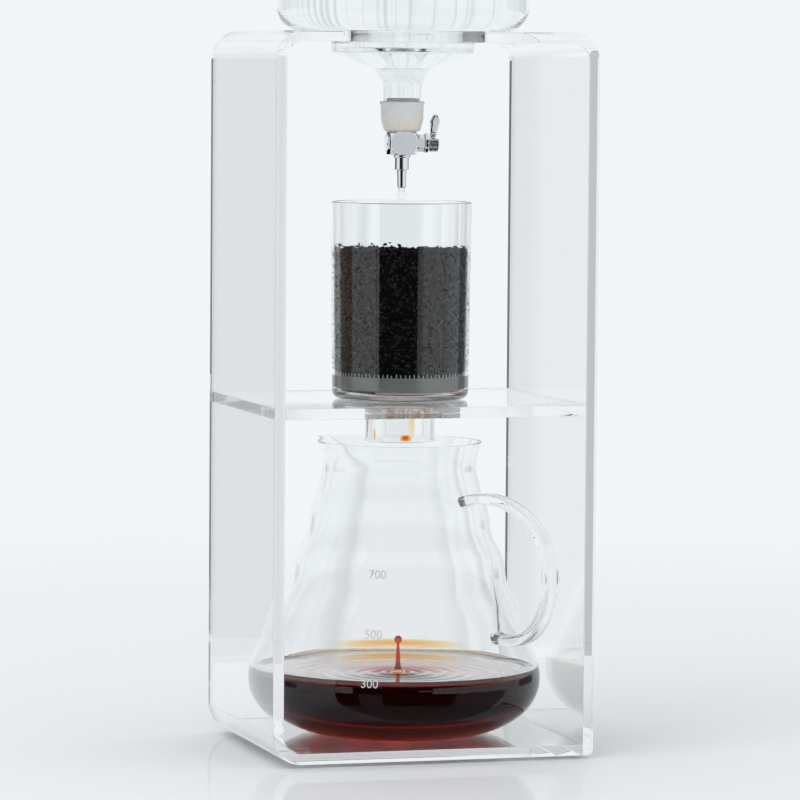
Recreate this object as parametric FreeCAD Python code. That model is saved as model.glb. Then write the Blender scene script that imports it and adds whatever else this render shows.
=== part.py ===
import FreeCAD, Part
import math
import os

from FreeCAD import Vector

# Cold drip coffee tower, millimetres, +Z up, table at z = 0.
# The front is -Y.  A glass water vessel stands on a bent acrylic frame, a tap hangs from its
# neck and drips into a glass brew cylinder on the shelf, which drains into a jug below.

# ---- fits and clearances -------------------------------------------------------------------
REST_GAP = 0.1            # between a piece that lifts off and the face it stands on
RUN_CLEAR = 0.05          # radial clearance of a turning piece in its bore
GLUE_LINE = 0.05          # open joint between the ends of the bent strip
HOLE_CLEAR = 0.6          # radial, water vessel step in the top of the frame
TUBE_CLEAR = 5.9          # radial, brew cylinder outlet in the shelf
SPOUT_GAP = 0.3           # jug rim to the end of the outlet tube above it
DRIP_GAP = 6.4            # brew cylinder rim to the tap nozzle above it
SIDE_GAP = 4.7            # jug belly to each wall of the frame
FILTER_CLEAR = 0.5        # radial, filter cup in the brew cylinder
HUB_GAP = 0.25            # lever hub to the gland nut
LID_CLEAR = 0.6           # radial, lid skirt in the water vessel

# ---- acrylic frame -------------------------------------------------------------------------
SHEET = 5.0               # thickness of the bent strip
SHELF_SHEET = 5.0         # thickness of the shelf
FRAME_DEPTH = 120.0
BEND_R = 13.0             # outer radius of the three bends
BUTT_R = 3.0              # eased outer corner at the glued joint
FOOT_R = 4.5
FOOT_H = 1.5
FOOT_EASE = 0.4
FOOT_IN_LEFT = 17.5       # foot centre in from the bent side
FOOT_IN_RIGHT = 14.5      # foot centre in from the glued side
FOOT_IN_ENDS = 17.5       # foot centre in from the front and back edges

# ---- jug -----------------------------------------------------------------------------------
JUG_H = 134.2
JUG_WALL = 1.8
JUG_BASE_R = 30.0
JUG_BELLY_R = 65.3
JUG_BELLY_Z = 24.8        # height of the widest place above the jug's base
JUG_TURN_H = 12.5         # the belly turns into the taper this much higher
JUG_TURN_IN = 2.5         # and this much further in
JUG_NECK_R = 35.3
JUG_NECK_DROP = 12.8      # narrowest place below the rim
JUG_SAG = 1.8             # hollow of the taper between belly and neck
JUG_WAVE = 0.9            # height of the waves blown into the taper
JUG_WAVE_PITCH = 23.0
JUG_CREST_DROP = 41.0     # one wave crest lies this far below the neck
JUG_RIM_R = 37.7
SPOUT_R = 8.0             # radius of the pouring lip where it opens at the rim
SPOUT_ROOT_R = 2.6
SPOUT_SINK = 0.2          # the lip's lower end lies this deep inside the neck
SPOUT_DROP = 15.0         # how far the lip runs down the neck
SPOUT_REACH = 7.6         # how far the lip stands out from the rim

# ---- jug handle ----------------------------------------------------------------------------
HANDLE_TURN = -56.2       # degrees from +X, towards the front right
HANDLE_WIDTH = 8.6
HANDLE_THICK = 4.6
HANDLE_EASE = 1.3
HANDLE_REACH = 23.3       # outside of the handle beyond the jug's belly, at mid height
HANDLE_TOP_Z = 109.2      # centre line of the upper arm above the jug's base
HANDLE_LOW_Z = 48.4       # centre line of the lower arm above the jug's base
HANDLE_SINK = 0.55         # the arms' ends start this deep, and are cut to the jug's side
HANDLE_DIP = 1.0          # the upper arm drops this much where it joins the jug

# ---- brew cylinder -------------------------------------------------------------------------
BREW_H = 89.9
BREW_TOP_R = 32.3
BREW_BASE_R = 31.2
BREW_WALL = 1.2
BREW_FLOOR = 2.6
BREW_CORNER_R = 3.5
BREW_TUBE_FILLET = 1.0    # where the outlet tube meets the floor, both sides
TUBE_R = 16.3
TUBE_DROP = 14.4          # outlet tube below the shelf

# ---- filter --------------------------------------------------------------------------------
GASKET_H = 1.5
GASKET_WIDTH = 6.0
GASKET_EASE = 0.4
FILTER_H = 6.7
FILTER_SHEET = 0.6
FILTER_BEND_R = 1.0       # outside of the bend between wall and ledge
FILTER_LEDGE = 3.0
MESH_SHEET = 0.4
MESH_CLEAR = 0.4          # radial, mesh in the filter cup
MESH_HOLE_R = 0.7
MESH_RINGS = 5

# ---- water vessel --------------------------------------------------------------------------
VESSEL_R = 57.5
VESSEL_H = 96.0
VESSEL_WALL = 2.2
VESSEL_CORNER_R = 11.0
STEP_R = 32.7             # round step under the vessel that drops through the frame
STEP_H = 9.8
CONE_FOOT_R = 12.4
CONE_H = 7.4
FLARE_H = 6.9
NECK_R = 8.8
NECK_H = 16.0
NECK_WALL = 1.6
NECK_FILLET = 5.0         # between neck and flare
FLARE_FILLET = 4.0        # between flare and cone
STEP_EDGE_R = 1.2         # lower edge of the step
STEP_FILLET = 1.0         # between the step and the vessel's floor

# ---- lid -----------------------------------------------------------------------------------
LID_SHEET = 3.0
LID_OVERHANG = 2.0
LID_SKIRT = 5.0
LID_SKIRT_WALL = 2.0
LID_EASE = 0.8
LID_SKIRT_EASE = 0.5
KNOB_R = 8.0
KNOB_WAIST_R = 4.5
KNOB_H = 15.0
KNOB_FOOT_R = 5.5
KNOB_FOOT_EASE = 0.5
KNOB_TOP_EASE = 2.5
KNOB_HOLE = 7.5           # depth of the screw hole in the knob
KNOB_SCREW_R = 2.0
KNOB_SCREW_HEAD_R = 4.0
KNOB_SCREW_HEAD_H = 1.6
KNOB_SCREW_HEAD_EASE = 0.6
KNOB_SCREW_SHORT = 0.5    # the screw ends this far below the end of its hole

# ---- silicone bung -------------------------------------------------------------------------
BUNG_H = 13.7
BUNG_LIP_R = 10.3
BUNG_LIP_H = 1.8
BUNG_R = 9.8
BUNG_FOOT_R = 8.2
BUNG_FOOT_EASE = 1.9
BUNG_BELLY_IN = 0.1       # the sides are this much slimmer at the belly
BUNG_BELLY_AT = 0.4       # share of the height at which the belly turns in to the foot
BUNG_BELLY_BEND = 8.0
BUNG_LIP_EASE = 0.7
BUNG_LIP_SLOPE = 0.6
BUNG_PLUG_EASE = 0.8
BUNG_FLOOR = 5.4          # silicone under the end of the glass neck
BUNG_PLUG = 1.5           # inner plug above the top of the bung

# ---- tap -----------------------------------------------------------------------------------
TAP_TURN = -6.0           # degrees, the way the tap happens to face in its bung
TAP_W = 12.3
TAP_H = 10.6
TAP_SPHERE_R = 8.6        # turned corners of the body
SHANK_R = 3.2
SHANK_RISE = 12.1         # inlet shank above the body
SPIGOT = 2.0              # how deep shank, collar and gland nut enter the body
SHANK_BORE_R = 1.5
SHANK_EASE = 0.3
PORT_R = 1.2
PLUG_R = 3.4              # turning plug inside the body
PLUG_BORE_R = 0.9
PLUG_LEFT = 3.8
PLUG_RIGHT = 3.6
PLUG_EASE = 0.2
STEM_R = 1.9
O_RING_R = 0.4
O_RING_X = 2.6
GLAND_R = 2.8
END_PLUG_R = 4.2
END_PLUG_FLATS = 9.0
END_PLUG_HEAD = 1.5
END_PLUG_BEVEL = 0.6
WASHER = 0.6
NUT_FLATS = 6.8
NUT_HEX = 4.0
NUT_FLANGE_R = 4.6
NUT_FLANGE = 1.9
HUB_R = 3.9
HUB_LENGTH = 4.3
HUB_FLAT = 2.0            # height of the milled flat above the stem's axis
HUB_EASE = 0.4
HUB_SCREW_R = 0.8
HUB_SCREW_HEAD_R = 1.7
HUB_SCREW_HEAD_H = 0.9
HUB_SCREW_HEAD_EASE = 0.3
HUB_SCREW_SHORT = 0.5     # the screw ends this far before its hole does
LEVER_BALL_R = 1.6
BALL_SINK = 0.1           # share of the ball's radius that the hub's flat takes off
LEVER_LEAN = 7.0          # degrees outwards
LEVER_LENGTH = 11.2       # hub flat to the tip
LEVER_ROOT_W = 2.5
LEVER_HEAD_W = 4.5
LEVER_THICK = 2.2
LEVER_EASE = 0.5

# ---- outlet --------------------------------------------------------------------------------
COLLAR_R = 3.25
COLLAR_FLANGE_R = 3.9
COLLAR_FLANGE = 1.4
COLLAR_LENGTH = 5.7
COLLAR_EASE = 0.4
TIP_TOP_R = 2.2
TIP_END_R = 1.95
TIP_LENGTH = 8.0
TIP_BORE_R = 1.0
TIP_EASE = 0.25
TIP_SPIGOT_R = 1.7
TIP_SPIGOT = 3.0

# ---- levels, from the table up -------------------------------------------------------------
BASE_TOP = FOOT_H + SHEET
JUG_FOOT = BASE_TOP + REST_GAP
JUG_RIM = JUG_FOOT + JUG_H
TUBE_END = JUG_RIM + SPOUT_GAP
SHELF_LOW = TUBE_END + TUBE_DROP
SHELF_TOP = SHELF_LOW + SHELF_SHEET
BREW_FOOT = SHELF_TOP + REST_GAP
BREW_RIM = BREW_FOOT + BREW_H
TIP_END = BREW_RIM + DRIP_GAP
TIP_TOP = TIP_END + TIP_LENGTH
TAP_LOW = TIP_TOP + COLLAR_LENGTH + COLLAR_FLANGE
TAP_AXIS = TAP_LOW + TAP_H / 2
TAP_TOP = TAP_LOW + TAP_H
BUNG_TOP = TAP_TOP + BUNG_H
NECK_END = TAP_TOP + BUNG_FLOOR
FLARE_LOW = NECK_END + NECK_H
CONE_LOW = FLARE_LOW + FLARE_H
STEP_LOW = CONE_LOW + CONE_H
VESSEL_FOOT = STEP_LOW + STEP_H
FRAME_TOP = VESSEL_FOOT - REST_GAP
VESSEL_RIM = VESSEL_FOOT + VESSEL_H
LID_LOW = VESSEL_RIM + REST_GAP

# ---- widths worked out from the pieces inside ----------------------------------------------
FRAME_HALF_INNER = JUG_BELLY_R + SIDE_GAP
FRAME_HALF_WIDTH = FRAME_HALF_INNER + SHEET
NECK_INNER_R = NECK_R - NECK_WALL

UP = Vector(0, 0, 1)
ORIGIN = Vector(0, 0, 0)


# ---- helpers -------------------------------------------------------------------------------
def rounded_edges(corners):
    """Edges of a closed outline of (a, b) or (a, b, radius) corners, drawn in XZ."""
    count = len(corners)
    points = [Vector(corner[0], 0, corner[1]) for corner in corners]
    radii = [corner[2] if len(corner) > 2 else 0.0 for corner in corners]
    starts, ends, arcs = [], [], []
    for index in range(count):
        here, radius = points[index], radii[index]
        before = (points[index - 1] - here).normalize()
        after = (points[(index + 1) % count] - here).normalize()
        if radius <= 0:
            starts.append(here)
            ends.append(here)
            arcs.append(None)
            continue
        half_turn = before.getAngle(after) / 2
        back = radius / math.tan(half_turn)
        middle = (before + after).normalize()
        nearest = here + middle * (radius / math.sin(half_turn) - radius)
        starts.append(here + before * back)
        ends.append(here + after * back)
        arcs.append(Part.Arc(starts[-1], nearest, ends[-1]).toShape())
    edges = []
    for index in range(count):
        if arcs[index] is not None:
            edges.append(arcs[index])
        run_end = starts[(index + 1) % count]
        if ends[index].distanceToPoint(run_end) > 1e-6:
            edges.append(Part.makeLine(ends[index], run_end))
    return edges


def outline_face(corners):
    return Part.Face(Part.Wire(rounded_edges(corners)))


def turned(corners):
    """A solid of revolution about Z from an outline of (radius, height) corners."""
    return outline_face(corners).revolve(ORIGIN, UP, 360)


def ring(outer, inner, low, high, ease=0.0):
    return turned([(inner, low), (outer, low, ease), (outer, high, ease), (inner, high)])


def disc(radius, low, high, ease=0.0):
    return turned([(0, low), (radius, low, ease), (radius, high, ease), (0, high)])


def along_x(shape):
    """Lays a shape made about Z along the tap's stem, with its +Z end to +X."""
    shape.rotate(ORIGIN, Vector(0, 1, 0), 90)
    return shape


def hexagon(flats, low, high):
    corners = []
    for index in range(7):
        angle = math.radians(60 * index)
        corners.append(Vector(math.cos(angle), math.sin(angle), 0) * (flats / math.sqrt(3)))
    prism = Part.Face(Part.makePolygon(corners)).extrude(UP * (high - low))
    prism.translate(UP * low)
    return prism


def in_tap(shape):
    """Turns a piece of the tap the way the tap faces and lifts it to the stem's height."""
    shape.rotate(ORIGIN, UP, TAP_TURN)
    shape.translate(UP * TAP_AXIS)
    return shape


def block(x_low, x_high, depth, z_low, z_high):
    return Part.makeBox(x_high - x_low, depth, z_high - z_low, Vector(x_low, -depth / 2, z_low))


# ---- stand ---------------------------------------------------------------------------------
def bent_frame():
    width, inner = FRAME_HALF_WIDTH, FRAME_HALF_INNER
    inside_r = BEND_R - SHEET
    outer_face = outline_face([
        (-width, FOOT_H, BEND_R), (width, FOOT_H, BUTT_R),
        (width, FRAME_TOP, BEND_R), (-width, FRAME_TOP, BEND_R)])
    inner_face = outline_face([
        (-inner, BASE_TOP, inside_r), (inner, BASE_TOP),
        (inner, FRAME_TOP - SHEET, inside_r), (-inner, FRAME_TOP - SHEET, inside_r)])
    strip = outer_face.cut(inner_face).Faces[0].extrude(Vector(0, FRAME_DEPTH, 0))
    strip.translate(Vector(0, -FRAME_DEPTH / 2, 0))
    joint = block(inner - GLUE_LINE, inner, FRAME_DEPTH, FOOT_H, BASE_TOP)
    hole = disc(STEP_R + HOLE_CLEAR, FRAME_TOP - SHEET, FRAME_TOP)
    return strip.cut(joint).cut(hole)


def shelf():
    board = block(-FRAME_HALF_INNER, FRAME_HALF_INNER, FRAME_DEPTH, SHELF_LOW, SHELF_TOP)
    return board.cut(disc(TUBE_R + TUBE_CLEAR, SHELF_LOW, SHELF_TOP))


def foot(side, end):
    """One clear stick-on disc; side is -1 left or 1 right, end is -1 front or 1 back."""
    pad = turned([(0, 0), (FOOT_R, 0, FOOT_EASE), (FOOT_R, FOOT_H), (0, FOOT_H)])
    inset = FOOT_IN_LEFT if side < 0 else FOOT_IN_RIGHT
    pad.translate(Vector(side * (FRAME_HALF_WIDTH - inset), end * (FRAME_DEPTH / 2 - FOOT_IN_ENDS), 0))
    return pad


# ---- jug -----------------------------------------------------------------------------------
def jug_taper(share):
    """Height above the base and outer radius, with share 0 at the belly's turn, 1 at the neck."""
    low, high = JUG_BELLY_Z + JUG_TURN_H, JUG_H - JUG_NECK_DROP
    wide, narrow = JUG_BELLY_R - JUG_TURN_IN, JUG_NECK_R
    height = low + (high - low) * share
    waves = (height - high + JUG_CREST_DROP) / JUG_WAVE_PITCH
    radius = wide + (narrow - wide) * share - JUG_SAG * 4 * share * (1 - share)
    return height, radius + JUG_WAVE * math.cos(2 * math.pi * waves) * math.sin(math.pi * share)


def jug_curve():
    """The jug's outer side from the edge of its base to the rim, as one smooth curve."""
    points = []
    for degrees in (0, 8, 20, 40, 60, 80):
        angle = math.radians(degrees)
        spread = (JUG_BELLY_R - JUG_BASE_R) * math.sin(angle)
        points.append((JUG_BELLY_Z * (1 - math.cos(angle)), JUG_BASE_R + spread))
    points.append((JUG_BELLY_Z + JUG_TURN_H * 0.3, JUG_BELLY_R - JUG_TURN_IN * 0.06))
    steps = 18
    for index in range(steps + 1):
        points.append(jug_taper(index / steps))
    flare = JUG_RIM_R - JUG_NECK_R
    points.append((JUG_H - JUG_NECK_DROP * 0.5, JUG_NECK_R + flare * 0.3))
    points.append((JUG_H, JUG_RIM_R))
    curve = Part.BSplineCurve()
    curve.interpolate([Vector(radius, 0, JUG_FOOT + height) for height, radius in points])
    return curve


def jug_radius_at(height):
    """Outer radius of the jug at a height above the table."""
    level = Part.Plane(Vector(0, 0, height), UP)
    return jug_curve().intersect(level)[0][0].X


def jug_side(inset):
    """The solid inside the jug's side curve, with the curve moved inwards by inset."""
    curve = jug_curve()
    first, last = curve.FirstParameter, curve.LastParameter
    floor = JUG_FOOT + inset
    steps = 48
    points = [Vector(JUG_BASE_R, 0, floor)]
    for index in range(1, steps):
        where = first + (last - first) * index / steps
        along = curve.tangent(where)[0].normalize()
        moved = curve.value(where) + Vector(-along.z, 0, along.x) * inset
        if moved.z > floor + JUG_WALL / 10:
            points.append(moved)
    points.append(Vector(JUG_RIM_R - inset, 0, JUG_RIM))
    side = Part.BSplineCurve()
    side.interpolate(points)
    edges = [
        side.toShape(),
        Part.makeLine(points[-1], Vector(0, 0, JUG_RIM)),
        Part.makeLine(Vector(0, 0, JUG_RIM), Vector(0, 0, floor)),
        Part.makeLine(Vector(0, 0, floor), points[0])]
    return Part.Face(Part.Wire(edges)).revolve(ORIGIN, UP, 360)


def spout(inset):
    """The pouring lip opposite the handle, a slanted cone that opens at the rim."""
    turn = math.radians(HANDLE_TURN + 180)
    outwards = Vector(math.cos(turn), math.sin(turn), 0)
    low = JUG_RIM - SPOUT_DROP
    low_centre = outwards * (jug_radius_at(low) - SPOUT_ROOT_R - SPOUT_SINK) + UP * low
    top_centre = outwards * (JUG_RIM_R + SPOUT_REACH - SPOUT_R) + UP * JUG_RIM
    rings = [
        Part.Wire(Part.makeCircle(SPOUT_ROOT_R - inset, low_centre, UP)),
        Part.Wire(Part.makeCircle(SPOUT_R - inset, top_centre, UP))]
    return Part.makeLoft(rings, True, True)


def server_jug():
    outside = jug_side(0.0).fuse(spout(0.0))
    inside = jug_side(JUG_WALL).fuse(spout(JUG_WALL))
    return outside.cut(inside)


def handle_line():
    """Centre line of the handle in its own plane, as (distance from the jug's axis, z)."""
    reach = JUG_BELLY_R + HANDLE_REACH
    top = JUG_FOOT + HANDLE_TOP_Z
    low = JUG_FOOT + HANDLE_LOW_Z
    middle = low + (top - low) * 0.45
    top_root = jug_radius_at(top)
    low_root = jug_radius_at(low)
    return [
        Vector(top_root - HANDLE_SINK, 0, top - HANDLE_DIP),
        Vector(top_root + (reach - top_root) * 0.5, 0, top),
        Vector(reach - (reach - low_root) * 0.26, 0, top - (top - low) * 0.17),
        Vector(reach, 0, middle),
        Vector(reach - (reach - low_root) * 0.24, 0, low + (top - low) * 0.1),
        Vector(low_root - HANDLE_SINK, 0, low)]


def server_handle():
    line = Part.BSplineCurve()
    line.interpolate(handle_line())
    steps = 22
    inner, outer = [], []
    for index in range(steps + 1):
        where = line.FirstParameter + (line.LastParameter - line.FirstParameter) * index / steps
        along = line.tangent(where)[0].normalize()
        aside = Vector(-along.z, 0, along.x) * (HANDLE_THICK / 2)
        outer.append(line.value(where) + aside)
        inner.append(line.value(where) - aside)
    inner_curve, outer_curve = Part.BSplineCurve(), Part.BSplineCurve()
    inner_curve.interpolate(inner)
    outer_curve.interpolate(outer)
    face = Part.Face(Part.Wire([
        outer_curve.toShape(), Part.makeLine(outer[-1], inner[-1]),
        inner_curve.toShape(), Part.makeLine(inner[0], outer[0])]))
    strap = face.extrude(Vector(0, HANDLE_WIDTH, 0))
    strap.translate(Vector(0, -HANDLE_WIDTH / 2, 0))
    long_edges = [edge for edge in strap.Edges if edge.Length > HANDLE_REACH * 2]
    strap = strap.makeFillet(HANDLE_EASE, long_edges)
    strap.rotate(ORIGIN, UP, HANDLE_TURN)
    return strap.cut(jug_side(0.0))


# ---- brew cylinder and its filter ----------------------------------------------------------
def brew_radius_at(height):
    share = (height - BREW_FOOT) / BREW_H
    return BREW_BASE_R + (BREW_TOP_R - BREW_BASE_R) * share


def brew_glass():
    lip = BREW_WALL * 0.45
    floor = BREW_FOOT + BREW_FLOOR
    bore = TUBE_R - BREW_WALL
    return turned([
        (TUBE_R, TUBE_END, lip), (TUBE_R, BREW_FOOT, BREW_TUBE_FILLET),
        (BREW_BASE_R, BREW_FOOT, BREW_CORNER_R), (BREW_TOP_R, BREW_RIM, lip),
        (BREW_TOP_R - BREW_WALL, BREW_RIM, lip),
        (brew_radius_at(floor) - BREW_WALL, floor, BREW_CORNER_R - BREW_WALL),
        (bore, floor, BREW_TUBE_FILLET), (bore, TUBE_END, lip)])


GASKET_LOW = BREW_FOOT + BREW_FLOOR
FILTER_LOW = GASKET_LOW + GASKET_H
FILTER_R = brew_radius_at(GASKET_LOW) - BREW_WALL - FILTER_CLEAR
LEDGE_TOP = FILTER_LOW + FILTER_SHEET


def filter_gasket():
    outer = FILTER_R - BREW_CORNER_R / 2
    return ring(outer, outer - GASKET_WIDTH, GASKET_LOW, FILTER_LOW, GASKET_EASE)


def filter_rim():
    wall_in = FILTER_R - FILTER_SHEET
    ledge_in = wall_in - FILTER_LEDGE
    top = FILTER_LOW + FILTER_H
    return turned([
        (ledge_in, FILTER_LOW), (FILTER_R, FILTER_LOW, FILTER_BEND_R), (FILTER_R, top),
        (wall_in, top), (wall_in, LEDGE_TOP, FILTER_BEND_R - FILTER_SHEET), (ledge_in, LEDGE_TOP)])


def filter_mesh():
    radius = FILTER_R - FILTER_SHEET - MESH_CLEAR
    plate = disc(radius, LEDGE_TOP, LEDGE_TOP + MESH_SHEET)
    open_r = radius - FILTER_LEDGE
    holes = [disc(MESH_HOLE_R, LEDGE_TOP, LEDGE_TOP + MESH_SHEET)]
    for ring_number in range(1, MESH_RINGS + 1):
        ring_r = open_r * ring_number / (MESH_RINGS + 0.5)
        for index in range(6 * ring_number):
            angle = 2 * math.pi * index / (6 * ring_number)
            hole = disc(MESH_HOLE_R, LEDGE_TOP, LEDGE_TOP + MESH_SHEET)
            hole.translate(Vector(ring_r * math.cos(angle), ring_r * math.sin(angle), 0))
            holes.append(hole)
    return plate.cut(holes)


# ---- water vessel, lid and bung ------------------------------------------------------------
def water_vessel():
    wall = VESSEL_WALL
    lip = wall * 0.45
    floor = VESSEL_FOOT + wall
    return turned([
        (NECK_R, NECK_END), (NECK_R, FLARE_LOW, NECK_FILLET), (CONE_FOOT_R, CONE_LOW, FLARE_FILLET),
        (STEP_R, STEP_LOW, STEP_EDGE_R), (STEP_R, VESSEL_FOOT, STEP_FILLET),
        (VESSEL_R, VESSEL_FOOT, VESSEL_CORNER_R), (VESSEL_R, VESSEL_RIM, lip),
        (VESSEL_R - wall, VESSEL_RIM, lip),
        (VESSEL_R - wall, floor, VESSEL_CORNER_R - wall), (STEP_R - wall, floor, STEP_FILLET),
        (STEP_R - wall, STEP_LOW + wall, STEP_FILLET),
        (CONE_FOOT_R - wall, CONE_LOW + wall, FLARE_FILLET),
        (NECK_INNER_R, FLARE_LOW, NECK_FILLET), (NECK_INNER_R, NECK_END)])


def neck_bung():
    plug_top = BUNG_TOP + BUNG_PLUG
    lip_low = BUNG_TOP - BUNG_LIP_H
    return turned([
        (SHANK_R, TAP_TOP), (BUNG_FOOT_R, TAP_TOP, BUNG_FOOT_EASE),
        (BUNG_R - BUNG_BELLY_IN, TAP_TOP + BUNG_H * BUNG_BELLY_AT, BUNG_BELLY_BEND), (BUNG_R, lip_low),
        (BUNG_LIP_R, lip_low + BUNG_LIP_SLOPE), (BUNG_LIP_R, BUNG_TOP, BUNG_LIP_EASE),
        (NECK_R, BUNG_TOP), (NECK_R, NECK_END), (NECK_INNER_R, NECK_END),
        (NECK_INNER_R, plug_top, BUNG_PLUG_EASE),
        (SHANK_R, plug_top)])


def lid():
    outer = VESSEL_R + LID_OVERHANG
    skirt = VESSEL_R - VESSEL_WALL - LID_CLEAR
    top = LID_LOW + LID_SHEET
    return turned([
        (KNOB_SCREW_R, LID_LOW), (skirt - LID_SKIRT_WALL, LID_LOW),
        (skirt - LID_SKIRT_WALL, LID_LOW - LID_SKIRT), (skirt, LID_LOW - LID_SKIRT, LID_SKIRT_EASE),
        (skirt, LID_LOW), (outer, LID_LOW, LID_EASE), (outer, top, LID_EASE), (KNOB_SCREW_R, top)])


def lid_knob():
    low = LID_LOW + LID_SHEET
    high = low + KNOB_H
    screw_top = low + KNOB_HOLE
    return turned([
        (KNOB_SCREW_R, low), (KNOB_FOOT_R, low, KNOB_FOOT_EASE),
        (KNOB_WAIST_R, low + KNOB_H * 0.3, KNOB_H * 0.2),
        (KNOB_R, low + KNOB_H * 0.6, KNOB_H * 0.13), (KNOB_R, high, KNOB_TOP_EASE),
        (0, high), (0, screw_top),
        (KNOB_SCREW_R, screw_top)])


def lid_knob_screw():
    low = LID_LOW - KNOB_SCREW_HEAD_H
    tip = LID_LOW + LID_SHEET + KNOB_HOLE - KNOB_SCREW_SHORT
    return turned([
        (0, low), (KNOB_SCREW_HEAD_R, low, KNOB_SCREW_HEAD_EASE), (KNOB_SCREW_HEAD_R, LID_LOW),
        (KNOB_SCREW_R, LID_LOW), (KNOB_SCREW_R, tip), (0, tip)])


# ---- tap body and what is fixed in it ------------------------------------------------------
HALF_W = TAP_W / 2
HALF_H = TAP_H / 2
GLAND_IN = PLUG_RIGHT + RUN_CLEAR      # inner end of the gland's recess, along the stem
NUT_OUT = HALF_W + NUT_HEX + NUT_FLANGE
HUB_IN = NUT_OUT + HUB_GAP
HUB_OUT = HUB_IN + HUB_LENGTH


def tap_body():
    cube = block(-HALF_W, HALF_W, TAP_W, -HALF_H, HALF_H)
    body = cube.common(Part.makeSphere(TAP_SPHERE_R))
    plug_bore = along_x(disc(PLUG_R + RUN_CLEAR, -HALF_W, GLAND_IN))
    end_seat = along_x(disc(END_PLUG_R, -HALF_W - 1, -PLUG_LEFT - REST_GAP - WASHER))
    gland_seat = along_x(disc(GLAND_R, GLAND_IN, HALF_W + 1))
    ports = disc(PORT_R, -HALF_H, HALF_H)
    shank_seat = disc(SHANK_R, HALF_H - SPIGOT / 2, HALF_H)
    collar_seat = disc(TIP_SPIGOT_R, -HALF_H, SPIGOT / 2 - HALF_H)
    body = body.cut([plug_bore, end_seat, gland_seat, ports, shank_seat, collar_seat])
    return in_tap(body)


def inlet_shank():
    return ring(SHANK_R, SHANK_BORE_R, TAP_TOP - SPIGOT / 2, TAP_TOP + SHANK_RISE, SHANK_EASE)


def end_plug():
    inner = -PLUG_LEFT - REST_GAP - WASHER
    screw = along_x(disc(END_PLUG_R, -HALF_W, inner))
    head = hexagon(END_PLUG_FLATS, -HALF_W - END_PLUG_HEAD, -HALF_W)
    corner_r = END_PLUG_FLATS / math.sqrt(3)
    outer = -HALF_W - END_PLUG_HEAD
    bevel = turned([
        (0, outer), (corner_r - 2 * END_PLUG_BEVEL, outer),
        (corner_r, outer + END_PLUG_BEVEL), (corner_r, -HALF_W), (0, -HALF_W)])
    return in_tap(screw.fuse(along_x(head.common(bevel))))


def end_washer():
    return in_tap(along_x(disc(PLUG_R, -PLUG_LEFT - REST_GAP - WASHER, -PLUG_LEFT - REST_GAP)))


def gland_packing():
    return in_tap(along_x(ring(GLAND_R, STEM_R + RUN_CLEAR, GLAND_IN + REST_GAP, HALF_W - SPIGOT / 2)))


def gland_nut():
    spigot = disc(GLAND_R, HALF_W - SPIGOT / 2, HALF_W)
    hexed = hexagon(NUT_FLATS, HALF_W, HALF_W + NUT_HEX)
    flange = disc(NUT_FLANGE_R, HALF_W + NUT_HEX, NUT_OUT, NUT_FLANGE * 0.3)
    bore = disc(STEM_R + RUN_CLEAR, 0, NUT_OUT)
    return in_tap(along_x(spigot.fuse([hexed, flange]).cut(bore)))


def outlet_collar():
    flange_low = TAP_LOW - COLLAR_FLANGE
    return turned([
        (TIP_SPIGOT_R, TIP_TOP), (COLLAR_R, TIP_TOP, COLLAR_EASE), (COLLAR_R, flange_low),
        (COLLAR_FLANGE_R, flange_low, COLLAR_EASE),
        (COLLAR_FLANGE_R, TAP_LOW, COLLAR_EASE), (TIP_SPIGOT_R, TAP_LOW),
        (TIP_SPIGOT_R, TAP_LOW + SPIGOT / 2), (PORT_R, TAP_LOW + SPIGOT / 2),
        (PORT_R, TIP_TOP + TIP_SPIGOT), (TIP_SPIGOT_R, TIP_TOP + TIP_SPIGOT)])


def nozzle_tip():
    return turned([
        (TIP_BORE_R, TIP_END), (TIP_END_R, TIP_END, TIP_EASE), (TIP_TOP_R, TIP_TOP),
        (TIP_SPIGOT_R, TIP_TOP), (TIP_SPIGOT_R, TIP_TOP + TIP_SPIGOT),
        (TIP_BORE_R, TIP_TOP + TIP_SPIGOT)])


# ---- the pieces that turn with the lever ---------------------------------------------------
def valve_spindle():
    groove_r = PLUG_R - 2 * O_RING_R
    plug = disc(PLUG_R, -PLUG_LEFT, PLUG_RIGHT, PLUG_EASE)
    stem = disc(STEM_R, PLUG_RIGHT, HUB_OUT - HUB_SCREW_HEAD_H)
    spindle = plug.fuse(stem)
    grooves = []
    for centre in (-O_RING_X, O_RING_X):
        grooves.append(ring(PLUG_R + 1, groove_r, centre - O_RING_R, centre + O_RING_R))
    screw_hole = disc(HUB_SCREW_R, HUB_IN, HUB_OUT)
    spindle = along_x(spindle.cut(grooves + [screw_hole]))
    return in_tap(spindle.cut(disc(PLUG_BORE_R, -PLUG_R, PLUG_R)))


def spindle_o_rings():
    rings = []
    for centre in (-O_RING_X, O_RING_X):
        o_ring = Part.makeTorus(PLUG_R - O_RING_R, O_RING_R, UP * centre)
        rings.append(in_tap(along_x(o_ring)))
    return Part.makeCompound(rings)


def lever_hub():
    barrel = disc(HUB_R, HUB_IN, HUB_OUT, HUB_EASE)
    stem_hole = disc(STEM_R, HUB_IN, HUB_OUT - HUB_SCREW_HEAD_H)
    head_hole = disc(HUB_SCREW_HEAD_R, HUB_OUT - HUB_SCREW_HEAD_H, HUB_OUT)
    hub = along_x(barrel.cut([stem_hole, head_hole]))
    flat = block(HUB_IN - 1, HUB_OUT + 1, 2 * HUB_R + 2, HUB_FLAT, HUB_R + 1)
    return in_tap(hub.cut(flat))


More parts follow.
